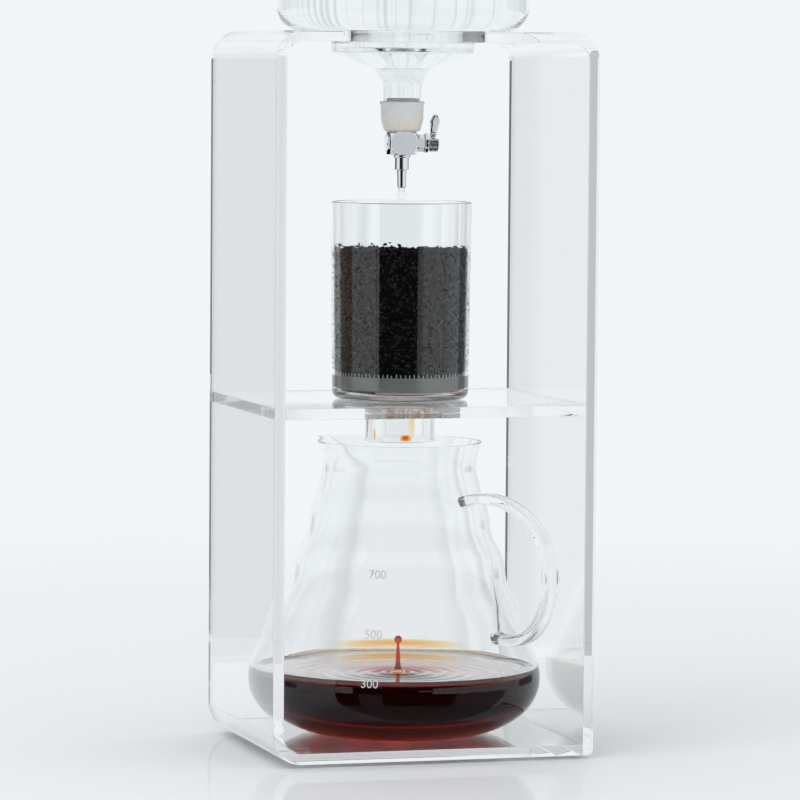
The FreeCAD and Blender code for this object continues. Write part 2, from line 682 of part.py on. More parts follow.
def hub_screw():
    head_low = HUB_OUT - HUB_SCREW_HEAD_H
    screw_end = HUB_IN + HUB_SCREW_SHORT
    return in_tap(along_x(turned([
        (0, screw_end), (HUB_SCREW_R, screw_end), (HUB_SCREW_R, head_low),
        (HUB_SCREW_HEAD_R, head_low), (HUB_SCREW_HEAD_R, HUB_OUT, HUB_SCREW_HEAD_EASE),
        (0, HUB_OUT)])))


def lever():
    """Flat paddle on a ball foot, standing on the hub's flat and leaning outwards."""
    ball_z = HUB_FLAT + LEVER_BALL_R * (1 - BALL_SINK)
    tip_z = HUB_FLAT + LEVER_LENGTH
    root, head = LEVER_ROOT_W / 2, LEVER_HEAD_W / 2
    point = head * 0.45
    shoulder_z = tip_z - head * 1.3
    paddle = outline_face([
        (-root, ball_z), (root, ball_z), (head, shoulder_z, head * 0.9),
        (point, tip_z, head * 0.4), (-point, tip_z, head * 0.4), (-head, shoulder_z, head * 0.9)])
    paddle = paddle.extrude(Vector(0, LEVER_THICK, 0))
    paddle.translate(Vector(0, -LEVER_THICK / 2, 0))
    rims = [edge for edge in paddle.Edges if edge.BoundBox.YLength < 1e-3]
    above_ball = [edge for edge in rims if edge.BoundBox.ZMax > ball_z + LEVER_THICK / 10]
    paddle = paddle.makeChamfer(LEVER_EASE, above_ball)
    whole = paddle.fuse(Part.makeSphere(LEVER_BALL_R, Vector(0, 0, ball_z)))
    whole.rotate(Vector(0, 0, ball_z), Vector(0, 1, 0), LEVER_LEAN)
    whole = whole.cut(block(-HUB_R, HUB_R, 2 * HUB_R, -HUB_R, HUB_FLAT))
    whole.translate(Vector((HUB_IN + HUB_OUT) / 2, 0, 0))
    return in_tap(whole)


# ---- all nodes -----------------------------------------------------------------------------
NODES = {
    "bent_frame": bent_frame(),
    "shelf": shelf(),
    "foot_front_left": foot(-1, -1),
    "foot_front_right": foot(1, -1),
    "foot_back_left": foot(-1, 1),
    "foot_back_right": foot(1, 1),
    "server_jug": server_jug(),
    "server_handle": server_handle(),
    "brew_glass": brew_glass(),
    "filter_gasket": filter_gasket(),
    "filter_rim": filter_rim(),
    "filter_mesh": filter_mesh(),
    "water_vessel": water_vessel(),
    "neck_bung": neck_bung(),
    "inlet_shank": inlet_shank(),
    "tap_body": tap_body(),
    "end_plug": end_plug(),
    "end_washer": end_washer(),
    "gland_packing": gland_packing(),
    "gland_nut": gland_nut(),
    "outlet_collar": outlet_collar(),
    "nozzle_tip": nozzle_tip(),
    "valve_spindle": valve_spindle(),
    "spindle_o_rings": spindle_o_rings(),
    "lever_hub": lever_hub(),
    "hub_screw": hub_screw(),
    "lever": lever(),
    "lid": lid(),
    "lid_knob": lid_knob(),
    "lid_knob_screw": lid_knob_screw(),
}


def reach(shape, sign):
    """How far a shape's surface goes along +Y (sign 1) or -Y (sign -1)."""
    return max(sign * point.y for point in shape.tessellate(0.02)[0])


# The handle stands out at the front, so the middle of the whole footprint lies in front of the
# frame's own middle.  Everything moves back by this much, to put the origin under that middle.
FRONT_REACH = reach(NODES["server_handle"], -1)
BACK_REACH = max(reach(NODES["server_jug"], 1), FRAME_DEPTH / 2)
FOOTPRINT_SHIFT = (FRONT_REACH - BACK_REACH) / 2

os.makedirs("parts", exist_ok=True)
for node_name, node_shape in NODES.items():
    node_shape.translate(Vector(0, FOOTPRINT_SHIFT, 0))
    node_shape.exportStep(os.path.join("parts", node_name + ".step"))
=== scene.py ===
import math
import random

import bmesh
import bpy
from bpy.props import FloatProperty, FloatVectorProperty, IntProperty, PointerProperty
from mathutils import Matrix, Vector, noise
from mathutils.bvhtree import BVHTree


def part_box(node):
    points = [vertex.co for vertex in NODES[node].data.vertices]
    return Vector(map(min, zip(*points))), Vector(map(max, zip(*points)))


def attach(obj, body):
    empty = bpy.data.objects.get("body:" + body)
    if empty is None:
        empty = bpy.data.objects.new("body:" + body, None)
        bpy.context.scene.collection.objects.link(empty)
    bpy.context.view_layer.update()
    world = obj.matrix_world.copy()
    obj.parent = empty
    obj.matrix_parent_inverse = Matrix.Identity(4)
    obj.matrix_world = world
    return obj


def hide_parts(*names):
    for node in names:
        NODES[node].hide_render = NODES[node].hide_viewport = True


bl_info = {
    "name": "Cold drip coffee tower",
    "version": (1, 0, 0),
    "blender": (4, 5, 0),
    "location": "3D View > Sidebar > Drip Tower",
    "description": "Acrylic, glass, chrome, water and coffee of a cold drip coffee tower",
    "category": "Add Mesh",
}

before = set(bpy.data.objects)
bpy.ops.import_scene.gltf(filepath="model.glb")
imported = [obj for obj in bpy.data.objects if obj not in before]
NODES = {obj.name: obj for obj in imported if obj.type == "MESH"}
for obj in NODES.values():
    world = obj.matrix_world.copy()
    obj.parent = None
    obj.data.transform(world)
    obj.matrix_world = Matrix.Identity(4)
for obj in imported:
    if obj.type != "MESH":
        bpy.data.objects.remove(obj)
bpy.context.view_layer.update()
MM = 0.001
UP = Vector((0, 0, 1))

STAND_LOW, STAND_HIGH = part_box("bent_frame")
AXIS = Vector((0, (STAND_LOW.y + STAND_HIGH.y) / 2, 0))
LOOP_STEPS = 128
JUG_STEPS = 178         # so many that the spun jug stays inside the box of its solid
MERGE = 2e-6            # metres: vertices that are closer are one
SLACK = 1e-6            # metres: what comparisons of places leave open
CRUMB = 1e-7            # metres: shorter edges are dissolved
WHITE = (1, 1, 1, 1)
BLACK = (0, 0, 0, 1)


# ---- sizes and colours that a user would change --------------------------------------------
class StageSettings(bpy.types.PropertyGroup):
    camera_azimuth: FloatProperty(
        name="Camera azimuth", description="0 looks along +Y, in degrees", default=-16.2)
    camera_distance: FloatProperty(
        name="Camera distance", description="From the tower's axis, level", default=2.17115,
        unit="LENGTH")
    camera_height: FloatProperty(
        name="Camera height", description="Above the table", default=0.31144, unit="LENGTH")
    camera_pitch: FloatProperty(
        name="Camera pitch", description="Degrees below level", default=4.0)
    camera_roll: FloatProperty(
        name="Camera roll", description="Degrees, the top leans right", default=0.433)
    camera_lens: FloatProperty(
        name="Focal length", description="Millimetres on a 36 mm wide sensor", default=213.61)
    backdrop: FloatVectorProperty(
        name="Backdrop", description="Colour behind the tower", subtype="COLOR",
        default=(0.88, 0.915, 0.94))
    table: FloatVectorProperty(
        name="Table", description="Colour of the glossy table", subtype="COLOR",
        default=(0.84, 0.86, 0.88))
    table_gloss: FloatProperty(
        name="Table gloss", description="How much the table mirrors", default=0.16)
    daylight: FloatProperty(
        name="Daylight", description="Strength of the even light all round", default=0.9)
    folds: FloatProperty(
        name="Curtain folds", description="How dark the folds are that glass and metal see",
        default=0.8)
    lamp_power: FloatProperty(
        name="Lamp power", description="Watts of the soft lamp", default=9.0)


class GlassSettings(bpy.types.PropertyGroup):
    lip_reach: FloatProperty(
        name="Pouring lip", description="How far the jug's lip stands out", default=9.8 * MM,
        unit="LENGTH")
    lip_drop: FloatProperty(
        name="Lip drop", description="How far down the neck the lip starts", default=17 * MM,
        unit="LENGTH")
    lip_spread: FloatProperty(
        name="Lip spread", description="Half width of the lip, in degrees", default=15.0)
    lip_azimuth: FloatProperty(
        name="Lip direction", description="Degrees from +X, opposite the handle", default=123.8)
    tint: FloatVectorProperty(
        name="Glass tint", description="Colour of the glass", subtype="COLOR",
        default=(0.985, 0.992, 0.99))


class AcrylicSettings(bpy.types.PropertyGroup):
    edge: FloatProperty(
        name="Edge", description="Width of the eased edges of the sheets", default=0.3 * MM,
        unit="LENGTH")
    tint: FloatVectorProperty(
        name="Acrylic tint", description="Colour of the sheet", subtype="COLOR",
        default=(0.985, 0.99, 0.993))


class WaterSettings(bpy.types.PropertyGroup):
    level: FloatProperty(
        name="Water level", description="Above the table", default=0.392, unit="LENGTH")
    drop_radius: FloatProperty(
        name="Drop radius", description="Of the hanging drop", default=2.1 * MM, unit="LENGTH")
    drop_length: FloatProperty(
        name="Drop length", description="Of the hanging drop", default=5.7 * MM, unit="LENGTH")


class CoffeeSettings(bpy.types.PropertyGroup):
    grounds_top: FloatProperty(
        name="Grounds level", description="Above the table", default=0.2277, unit="LENGTH")
    grain: FloatProperty(
        name="Grain", description="Size of a ground", default=1.9 * MM, unit="LENGTH")
    grain_count: IntProperty(
        name="Loose grounds", description="Lying on top of the bed", default=900)
    level: FloatProperty(
        name="Coffee level", description="In the jug, above the table", default=36.2 * MM,
        unit="LENGTH")
    jet_height: FloatProperty(
        name="Splash height", description="Of the splash in the jug", default=17 * MM,
        unit="LENGTH")
    splash_x: FloatProperty(
        name="Splash X", description="Where the drops fall, from the tower's axis",
        default=-5.6 * MM, unit="LENGTH")
    splash_y: FloatProperty(
        name="Splash Y", description="Where the drops fall, from the tower's axis",
        default=-19.2 * MM, unit="LENGTH")
    ripple: FloatProperty(
        name="Ripple", description="Height of the rings round the splash", default=1.1 * MM,
        unit="LENGTH")
    brew_colour: FloatVectorProperty(
        name="Brewed coffee", description="Colour of a thin layer", subtype="COLOR",
        default=(0.97, 0.8, 0.45))


SETTINGS = {
    "drip_stage": StageSettings,
    "drip_glass": GlassSettings,
    "drip_acrylic": AcrylicSettings,
    "drip_water": WaterSettings,
    "drip_coffee": CoffeeSettings,
}


# ---- node helpers --------------------------------------------------------------------------
def new_material(name):
    material = bpy.data.materials.new(name)
    material.use_nodes = True
    return material, material.node_tree, material.node_tree.nodes["Principled BSDF"]


def fill_input(node, key, value):
    """Gives an input of a node its value, or links it."""
    if isinstance(value, bpy.types.NodeSocket):
        node.id_data.links.new(value, node.inputs[key])
    else:
        node.inputs[key].default_value = value


def add_node(tree, kind, values=None, **settings):
    """A shader node with its attributes set and its inputs given values or linked."""
    node = tree.nodes.new(kind)
    for key, value in settings.items():
        setattr(node, key, value)
    for key, value in (values or {}).items():
        fill_input(node, key, value)
    return node


def set_inputs(shader, **values):
    """Gives a shader's inputs values or links; an underscore stands for a space."""
    for key, value in values.items():
        fill_input(shader, key.replace("_", " "), value)


def colour_ramp(tree, factor, stops):
    """A ramp through (position, grey or colour) stops."""
    ramp = add_node(tree, "ShaderNodeValToRGB", {"Fac": factor})
    elements = ramp.color_ramp.elements
    while len(elements) < len(stops):
        elements.new(0.5)
    for element, (position, colour) in zip(elements, stops):
        element.position = position
        shade = (colour, colour, colour) if isinstance(colour, (int, float)) else tuple(colour)
        element.color = (*shade, 1)
    return ramp.outputs["Color"]


def object_place(tree):
    return add_node(tree, "ShaderNodeTexCoord").outputs["Object"]


def split(tree, vector):
    """The outputs X, Y and Z of a vector."""
    return add_node(tree, "ShaderNodeSeparateXYZ", {"Vector": vector}).outputs


def clouds(tree, place, scale, detail):
    """The outputs Fac and Color of a noise texture."""
    return add_node(tree, "ShaderNodeTexNoise", {
        "Vector": place, "Scale": scale, "Detail": detail}).outputs


def ranged(tree, value, low, high, to_low=0.0, to_high=1.0, **settings):
    """How far a value is on its way from low to high, laid out between two other values."""
    return add_node(tree, "ShaderNodeMapRange", {
        "Value": value, "From Min": low, "From Max": high, "To Min": to_low,
        "To Max": to_high}, **settings).outputs["Result"]


def reckoned(tree, operation, *values, **settings):
    """The result of a Math node."""
    return add_node(tree, "ShaderNodeMath", dict(enumerate(values)), operation=operation,
                    **settings).outputs["Value"]


def above(tree, value, limit):
    return reckoned(tree, "GREATER_THAN", value, limit)


def mixed(tree, factor, first, second, blend="MIX"):
    """Two colours or masks blended. With MIX, 0 gives the first and 1 the second."""
    return add_node(tree, "ShaderNodeMix", {"Factor": factor, "A": first, "B": second},
                    data_type="RGBA", blend_type=blend).outputs["Result"]


def multiplied(tree, first, second):
    return mixed(tree, 1.0, first, second, "MULTIPLY")


def add_relief(tree, shader, height, distance, strength=1.0, **settings):
    """Bumps a surface by a height that changes over it."""
    relief = add_node(tree, "ShaderNodeBump", {
        "Strength": strength, "Distance": distance, "Height": height}, **settings)
    set_inputs(shader, Normal=relief.outputs["Normal"])


def add_stain(tree, colour, density):
    """Lets a liquid soak up more light where it is thicker."""
    tinge = add_node(tree, "ShaderNodeVolumeAbsorption", {
        "Color": (*colour, 1), "Density": density})
    set_inputs(tree.nodes["Material Output"], Volume=tinge.outputs["Volume"])


def smudge_group():
    """Fine smears and dust: a slight change of roughness and a slight bump."""
    group = bpy.data.node_groups.get("smudges")
    if group:
        return group
    group = bpy.data.node_groups.new("smudges", "ShaderNodeTree")
    sockets = group.interface
    for name, default in (("Scale", 40.0), ("Lowest", 0.0), ("Highest", 0.05)):
        socket = sockets.new_socket(name=name, in_out="INPUT", socket_type="NodeSocketFloat")
        socket.default_value = default
    for name in ("Roughness", "Height"):
        sockets.new_socket(name=name, in_out="OUTPUT", socket_type="NodeSocketFloat")
    entry = group.nodes.new("NodeGroupInput").outputs
    smears = clouds(group, object_place(group), entry["Scale"], 6.0)["Fac"]
    spread = ranged(group, smears, 0.35, 0.75, entry["Lowest"], entry["Highest"])
    set_inputs(group.nodes.new("NodeGroupOutput"), Roughness=spread, Height=smears)
    return group


def add_smudges(tree, shader, scale, lowest, highest, bump=0.0):
    """Smudges by their number per metre, the roughness they span and their relief in metres."""
    group = add_node(tree, "ShaderNodeGroup", node_tree=smudge_group())
    set_inputs(group, Scale=scale, Lowest=lowest, Highest=highest)
    set_inputs(shader, Roughness=group.outputs["Roughness"])
    if bump:
        add_relief(tree, shader, group.outputs["Height"], bump)


# ---- materials -----------------------------------------------------------------------------
ACRYLIC_IOR = 1.49
GLASS_IOR = 1.47


def kept(make):
    """Makes a material once and hands out the same one after that."""
    name = make.__name__

    def fetch():
        return bpy.data.materials.get(name) or make(name)
    return fetch


def smudged(name, colour, scale, lowest, highest, bump=0.0, **values):
    """A material of one colour with smudges on it, and these values in its shader."""
    material, tree, shader = new_material(name)
    set_inputs(shader, Base_Color=(*colour, 1), **values)
    add_smudges(tree, shader, scale, lowest, highest, bump)
    return material


@kept
def polished_acrylic(name):
    tint = bpy.context.scene.drip_acrylic.tint
    return smudged(name, tint, 30.0, 0.0, 0.012, IOR=ACRYLIC_IOR, Transmission_Weight=1.0)


def smeared_glass(name, **values):
    return smudged(name, bpy.context.scene.drip_glass.tint, 55.0, 0.0, 0.02, 0.03 * MM,
                   IOR=GLASS_IOR, Transmission_Weight=1.0, **values)


@kept
def blown_glass(name):
    return smeared_glass(name)


@kept
def wetted_glass(name):
    """The glass's skin where liquid stands against it, which hardly mirrors."""
    return smeared_glass(name, Specular_Tint=BLACK)


@kept
def water(name):
    return smudged(name, (0.99, 0.995, 1), 20.0, 0.0, 0.004, IOR=1.333, Transmission_Weight=1.0,
                   Specular_Tint=BLACK)


COFFEE_SPAN = 0.1            # metres over which the coffee's painted light and shade is laid out, from the table up
COFFEE_SHEEN = 0.6 * MM      # how far down the coffee's top is oily
COFFEE_PAINTED_LIGHT = [             # painted light and shade by height, as a share of the coffee's level: a red glow low down, painted shade in the body, a pale top, dark red above it
    (0.34, (1.0, 0.6, 0.5)), (0.5, (0.25, 0.14, 0.12)), (0.68, (0.01, 0.01, 0.01)),
    (0.965, (0.006, 0.006, 0.006)), (0.985, (0.85, 0.5, 0.42)), (1.01, (1.0, 0.9, 0.82)),
    (1.035, (1.0, 0.88, 0.76)), (1.1, (0.75, 0.08, 0.04))]


@kept
def brewed_coffee(name):
    """Painted light and shade by height: a red glow low down where little of it is in the way,
    painted shade that keeps the body near black, a pale painted top, and an oily coat on top.
    """
    material, tree, shader = new_material(name)
    settings = bpy.context.scene.drip_coffee
    add_smudges(tree, shader, 60.0, 0.0, 0.01)
    height = split(tree, object_place(tree))["Z"]
    deep = settings.level / COFFEE_SPAN
    # the tone by height is painted light and shade, not the coffee's own colour
    tone = colour_ramp(tree, ranged(tree, height, 0.0, COFFEE_SPAN), [
        (deep * share, colour) for share, colour in COFFEE_PAINTED_LIGHT])
    set_inputs(shader, Base_Color=tone, IOR=1.34, Transmission_Weight=1.0, Specular_Tint=BLACK,
               Coat_Weight=above(tree, height, settings.level - COFFEE_SHEEN))
    add_stain(tree, settings.brew_colour, 400.0)
    return material


@kept
def coffee_film(name):
    """Thin coffee that clings to glass: straw where it feathers out, orange where it is thick."""
    material = smudged(name, (1, 1, 1), 90.0, 0.0, 0.03, IOR=1.01, Transmission_Weight=1.0)
    add_stain(material.node_tree, (0.985, 0.82, 0.52), 9000.0)
    return material


@kept
def sawn_edge(name):
    """A dull cut in the acrylic with brown blotches, a painted reflection of the coffee seen
    through the shelf, and clean at its left end.
    """
    material, tree, shader = new_material(name)
    place = object_place(tree)
    blots = clouds(tree, place, 520.0, 5.0)["Fac"]
    # the brown blotches are a painted reflection of the coffee above, seen through the shelf
    painted_coffee_reflection = colour_ramp(tree, blots, [
        (0.36, (0.3, 0.14, 0.1)), (0.48, (0.66, 0.48, 0.42)), (0.62, (0.93, 0.89, 0.88))])
    clean = ranged(tree, split(tree, place)["X"], -14 * MM, -20 * MM)
    set_inputs(shader, Base_Color=mixed(tree, clean, painted_coffee_reflection, (0.95, 0.95, 0.97, 1)),
               Roughness=0.35, IOR=ACRYLIC_IOR, Transmission_Weight=0.7)
    add_relief(tree, shader, blots, 0.1 * MM)
    return material


@kept
def coffee_grounds(name):
    """Dark roasted grains: each cell has its own brown, and a few carry a painted bluish-grey
    glint.
    """
    material, tree, shader = new_material(name)
    place = object_place(tree)
    scale = 1.8 / bpy.context.scene.drip_coffee.grain
    grains = add_node(tree, "ShaderNodeTexVoronoi", {
        "Vector": place, "Scale": scale, "Randomness": 1.0}).outputs
    chips = clouds(tree, place, scale * 2.3, 4.0)["Color"]
    speckled = mixed(tree, 0.4, grains["Color"], chips)
    grey = add_node(tree, "ShaderNodeRGBToBW", {"Color": speckled}).outputs["Val"]
    # the bluish grey stop is a painted glint; the other stops are the grains' own browns
    browns_and_glints = colour_ramp(tree, grey, [
        (0.3, (0.0012, 0.0011, 0.0011)), (0.6, (0.003, 0.0028, 0.003)),
        (0.66, (0.05, 0.052, 0.06)), (0.72, (0.006, 0.005, 0.005)), (0.79, (0.13, 0.03, 0.02))])
    shine = colour_ramp(tree, grains["Distance"], [(0.2, 0.3), (0.7, 0.7)])
    set_inputs(shader, Base_Color=browns_and_glints, Roughness=shine, IOR=1.16)
    add_relief(tree, shader, grains["Distance"], 0.8 * MM, invert=True)
    return material


@kept
def milky_silicone(name):
    """Milky, and warmer in colour towards the bung's foot."""
    material, tree, shader = new_material(name)
    place = object_place(tree)
    haze = clouds(tree, place, 90.0, 4.0)["Fac"]
    tone = colour_ramp(tree, haze, [(0.35, (0.98, 0.98, 0.97)), (0.7, 1.0)])
    # warmer towards the bung's foot, whiter higher up
    climb = ranged(tree, split(tree, place)["Z"], *span("neck_bung"))
    tinge = colour_ramp(tree, climb, [
        (0.0, (0.96, 0.87, 0.78)), (0.5, (1.0, 0.98, 0.94)), (0.8, (0.96, 1.0, 0.99))])
    set_inputs(shader, Base_Color=multiplied(tree, tone, tinge), IOR=1.41, Roughness=0.45,
               Subsurface_Weight=0.15, Subsurface_Radius=(1.6, 1.4, 1.2), Subsurface_Scale=MM)
    add_relief(tree, shader, haze, 0.05 * MM)
    return material


@kept
def chrome_plate(name):
    return smudged(name, (0.8, 0.82, 0.85), 260.0, 0.02, 0.07, 0.006 * MM, Metallic=1.0)


@kept
def satin_chrome(name):
    return smudged(name, (0.74, 0.79, 0.8), 260.0, 0.3, 0.38, 0.012 * MM, Metallic=1.0)


@kept
def satin_steel(name):
    """Steel with fine lines drawn round the cup."""
    material, tree, shader = new_material(name)
    drawn = add_node(tree, "ShaderNodeMapping", {
        "Vector": object_place(tree), "Scale": (60, 60, 6000)}).outputs["Vector"]
    lines = clouds(tree, drawn, 1.0, 5.0)["Fac"]
    tone = colour_ramp(tree, lines, [(0.3, (0.34, 0.36, 0.35)), (0.7, (0.5, 0.52, 0.5))])
    gloss = colour_ramp(tree, lines, [(0.3, 0.45), (0.7, 0.6)])
    set_inputs(shader, Base_Color=tone, Roughness=gloss, Metallic=1.0)
    add_relief(tree, shader, lines, 0.02 * MM, strength=0.5)
    return material


@kept
def white_ptfe(name):
    return smudged(name, (0.95, 0.95, 0.94), 200.0, 0.35, 0.55, 0.02 * MM)


@kept
def ring_rubber(name):
    return smudged(name, (0.012, 0.012, 0.012), 400.0, 0.5, 0.7, 0.02 * MM)


@kept
def grey_print(name):
    return smudged(name, (0.62, 0.64, 0.66), 500.0, 0.45, 0.65)


# ---- mesh helpers --------------------------------------------------------------------------
def span(node):
    """The heights of a node's lowest and highest points."""
    return [corner.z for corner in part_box(node)]


def way_out(heading):
    """The level direction at an angle from +X."""
    return Vector((math.cos(heading), math.sin(heading), 0))


def round_place(radius, angle, height):
    """A place by its radius and angle round the tower's axis."""
    return AXIS + Vector((radius * math.cos(angle), radius * math.sin(angle), height))


def off_axis(place):
    """The level step from the tower's axis to a place."""
    return (place - AXIS).xy.to_3d()


def finish_piece(name, shell, material, body, replaced=(), sharp=35.0):
    """Turns a bmesh into a finished object at the origin that rides on its body."""
    mesh = bpy.data.meshes.new(name)
    shell.to_mesh(mesh)
    shell.free()
    mesh.shade_smooth()
    mesh.set_sharp_from_angle(angle=math.radians(sharp))
    mesh.materials.append(material)
    piece = bpy.data.objects.new(name, mesh)
    bpy.context.scene.collection.objects.link(piece)
    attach(piece, body)
    if replaced:
        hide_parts(*replaced)
    even = piece.modifiers.new("even_normals", "WEIGHTED_NORMAL")
    even.mode = "FACE_AREA"
    even.keep_sharp = True
    return piece


def merged_copy(node):
    """A node's mesh with its loose triangles merged, in a new bmesh."""
    shell = bmesh.new()
    shell.from_mesh(NODES[node].data)
    bmesh.ops.remove_doubles(shell, verts=shell.verts, dist=MERGE)
    return shell


def ray_tree(node):
    """What finds the places where rays meet a node."""
    shell = merged_copy(node)
    tree = BVHTree.FromBMesh(shell)
    shell.free()
    return tree


def cut(shell, place, normal, reach, **clearing):
    """Cuts everything in a bmesh along a plane."""
    bmesh.ops.bisect_plane(shell, geom=shell.verts[:] + shell.edges[:] + shell.faces[:],
                           dist=reach, plane_co=place, plane_no=normal, **clearing)


def join_flat(shell, angle):
    """Joins faces and edges that meet at less than an angle in degrees."""
    bmesh.ops.dissolve_limit(shell, angle_limit=math.radians(angle), verts=shell.verts,
                             edges=shell.edges)


def ease_edges(shell, angle, width, segments, clamp=True):
    """Rounds over the edges that are sharper than an angle in degrees."""
    sharp = [edge for edge in shell.edges
             if len(edge.link_faces) == 2 and edge.calc_face_angle(0) > math.radians(angle)]
    bmesh.ops.bevel(shell, geom=sharp, offset=width, segments=segments, profile=0.5,
                    affect="EDGES", material=-1, clamp_overlap=clamp)


def outline_of(node):
    """The edges where a revolved node meets the half plane on the +X side of the axis."""
    shell = merged_copy(node)
    cut(shell, AXIS, (0, 1, 0), MERGE, clear_inner=True, clear_outer=True)
    behind = [vert for vert in shell.verts if vert.co.x < -SLACK]
    bmesh.ops.delete(shell, geom=behind, context="VERTS")
    join_flat(shell, 0.5)
    return shell


def spin_round(shell, steps=LOOP_STEPS):
    """Spins everything in a bmesh a full turn round the tower's axis and closes it."""
    profile = shell.verts[:] + shell.edges[:]
    bmesh.ops.spin(shell, geom=profile, cent=AXIS, axis=UP, angle=math.tau, steps=steps,
                   use_merge=True)
    bmesh.ops.remove_doubles(shell, verts=shell.verts, dist=MERGE)
    bmesh.ops.dissolve_degenerate(shell, edges=shell.edges, dist=CRUMB)
    bmesh.ops.recalc_face_normals(shell, faces=shell.faces)
    return shell


def outline(points, closed=False):
    """A bmesh with edges through (radius, height) points on the +X side of the axis."""
    shell = bmesh.new()
    verts = [shell.verts.new((radius, AXIS.y, height)) for radius, height in points]
    for first, second in zip(verts, verts[1:] + (verts[:1] if closed else [])):
        shell.edges.new((first, second))
    return shell


def lead_in(points, height, rings):
    """Leads an outline level to the axis in steps, so that its cover can be shaped."""
    radius = points[-1][0]
    points.extend((radius * (1 - index / rings), height) for index in range(1, rings + 1))


def wall_finder(node):
    """A function that gives the radius of a node's nearest wall at a height, from inside."""
    tree = ray_tree(node)

    def radius_at(height, heading=0.0, outside=False):
        way = way_out(heading)
        start = AXIS + UP * height
        hit = tree.ray_cast(start + way, -way)[0] if outside else tree.ray_cast(start, way)[0]
        return off_axis(hit).length if hit else None
    return radius_at


def levels_between(node, low, high):
    """Heights of a node's own vertices between two heights, each as a pair of close heights."""
    close = 0.015 * MM
    heights = sorted({round(vert.co.z, 6) for vert in NODES[node].data.vertices})
    inside = [height for height in heights if low < height < high]
    return sorted([low, high] + [height + step for height in inside for step in (-close, close)])


def fill_outline(node, low, high, overlap):
    """(radius, height) points up the inner wall of a node, closed at the axis below and above."""
    radius_at = wall_finder(node)
    points = [(0.0, low)]
    for height in levels_between(node, low, high):
        radius = radius_at(height)
        if radius is not None:
            points.append((radius + overlap, height))
    points.append((0.0, points[-1][1]))
    return points


def smear(name, node, heading, half_turn, low, high, thickness, material, body,
          narrowing=0.0):
    """A thin patch of liquid on the inside of a round wall, feathered at its edges.

    Angles are in degrees; narrowing is how much of its width it loses towards its top."""
    air, edge = 0.02 * MM, 0.004 * MM      # off the wall, and how thick it is where it ends
    radius_at = wall_finder(node)
    patch = bmesh.new()
    bmesh.ops.create_grid(patch, x_segments=20, y_segments=14, size=1.0)
    raised = bmesh.ops.extrude_face_region(patch, geom=patch.faces[:], use_keep_orig=True)
    inner = {part for part in raised["geom"] if isinstance(part, bmesh.types.BMVert)}
    for vert in patch.verts:
        across, along = vert.co.x, vert.co.y
        climb = (along + 1) / 2
        level = low + (high - low) * climb
        angle = math.radians(heading + half_turn * (1 - narrowing * climb) * across)
        radius = radius_at(level, angle) - air
        if vert in inner:
            radius -= thickness * (1 - across ** 2) ** 2 * (1 - along ** 2) + edge
        vert.co = round_place(radius, angle, level)
    bmesh.ops.recalc_face_normals(patch, faces=patch.faces)
    return finish_piece(name, patch, material, body, sharp=60.0)


# ---- stage ---------------------------------------------------------------------------------
# How bright the room is in a mirror, by the heading of a ray in degrees from +Y towards +X.
ROOM_BANDS = [
    (-180, 0.02), (-128, 0.02), (-126.5, 1.0), (-77, 1.0), (-74, 0.05), (-36, 0.05),
    (-24, 0.2), (-20, 0.85), (-8, 0.85), (-6, 1.0), (40, 1.0), (46, 0.06), (87, 0.06),
    (88.5, 1.0), (167.5, 1.0), (168.5, 0.02), (180, 0.02)]

# The same for rays that rise or fall more.
HIGH_BANDS = [
    (-180, 0.03), (-152, 0.03), (-151, 0.22), (-132, 0.22), (-131, 0.03), (-107, 0.03),
    (-105, 1.0), (98, 1.0), (99, 0.26), (147, 0.26), (148, 0.03), (180, 0.03)]

# What light that was mirrored inside glass shows of the far side of the room: posts and a fold.
GLASS_BANDS = [
    (-180, 1.0), (-75, 1.0), (-73, (0.34, 0.27, 0.22)), (-44, (0.34, 0.27, 0.22)), (-40, 1.0),
    (-21, 1.0), (-20, 0.6), (-12, 0.6), (-11, 1.0), (55, 1.0), (57, (0.25, 0.26, 0.3)),
    (83, (0.25, 0.26, 0.3)), (85, 1.0), (180, 1.0)]

# What it shows of the camera's side of the room: the dark gap between the windows.
BACK_BANDS = [
    (-180, 0.03), (-128, 0.03), (-126.5, 1.0), (157.5, 1.0), (158.5, 0.03), (180, 0.03)]

# How bright a mirrored room is by how far a ray rises, from -1 straight down to 1 straight up.
ROOM_RISE = [
    (-1.0, 1.0), (0.52, 1.0), (0.58, 0.3), (0.84, 0.3), (0.9, 0.9), (1.0, 0.9)]

# The same on the far side of the room.
FRONT_RISE = [(-1.0, 1.0), (0.3, 1.0), (0.42, 0.4), (1.0, 0.4)]

STEEP = 0.09                 # HIGH_BANDS hold from this rise up
DIPPING = -0.12              # and from this one down
DEEP = (-0.6, 0.2)           # rays below this rise see one even grey
LEVEL_RAYS = (-0.16, 0.005)  # in glass, rays outside these rises see an even pale room
LOW_WINDOW = (168.5, -0.03, 0.03, 0.72)   # a strip past a heading, between two rises, so bright
RIGHT_WINDOW_DROP = 0.15     # how much lower the window on the right reaches
FAR_SIDE = 0.15              # rays that go further along +Y than this see the room's far side
CURTAIN = (22.0, 4.0)        # how close the curtain's folds are, and how fine
TABLE_REACH = 0.35           # metres from the tower, as far as glass sees the table
TABLE_FADE = (0.45, 1.1)     # metres from the tower, over which the table fades into the backdrop


def heading_share(degrees):
    return degrees / 360 + 0.5


def by_heading(tree, turn, bands):
    return colour_ramp(tree, turn, [(heading_share(degrees), shade) for degrees, shade in bands])


def by_rise(tree, rise, bands):
    return colour_ramp(tree, ranged(tree, rise, -1.0, 1.0), [
        (height / 2 + 0.5, shade) for height, shade in bands])


def between(tree, value, low, high):
    return multiplied(tree, above(tree, value, low), reckoned(tree, "LESS_THAN", value, high))


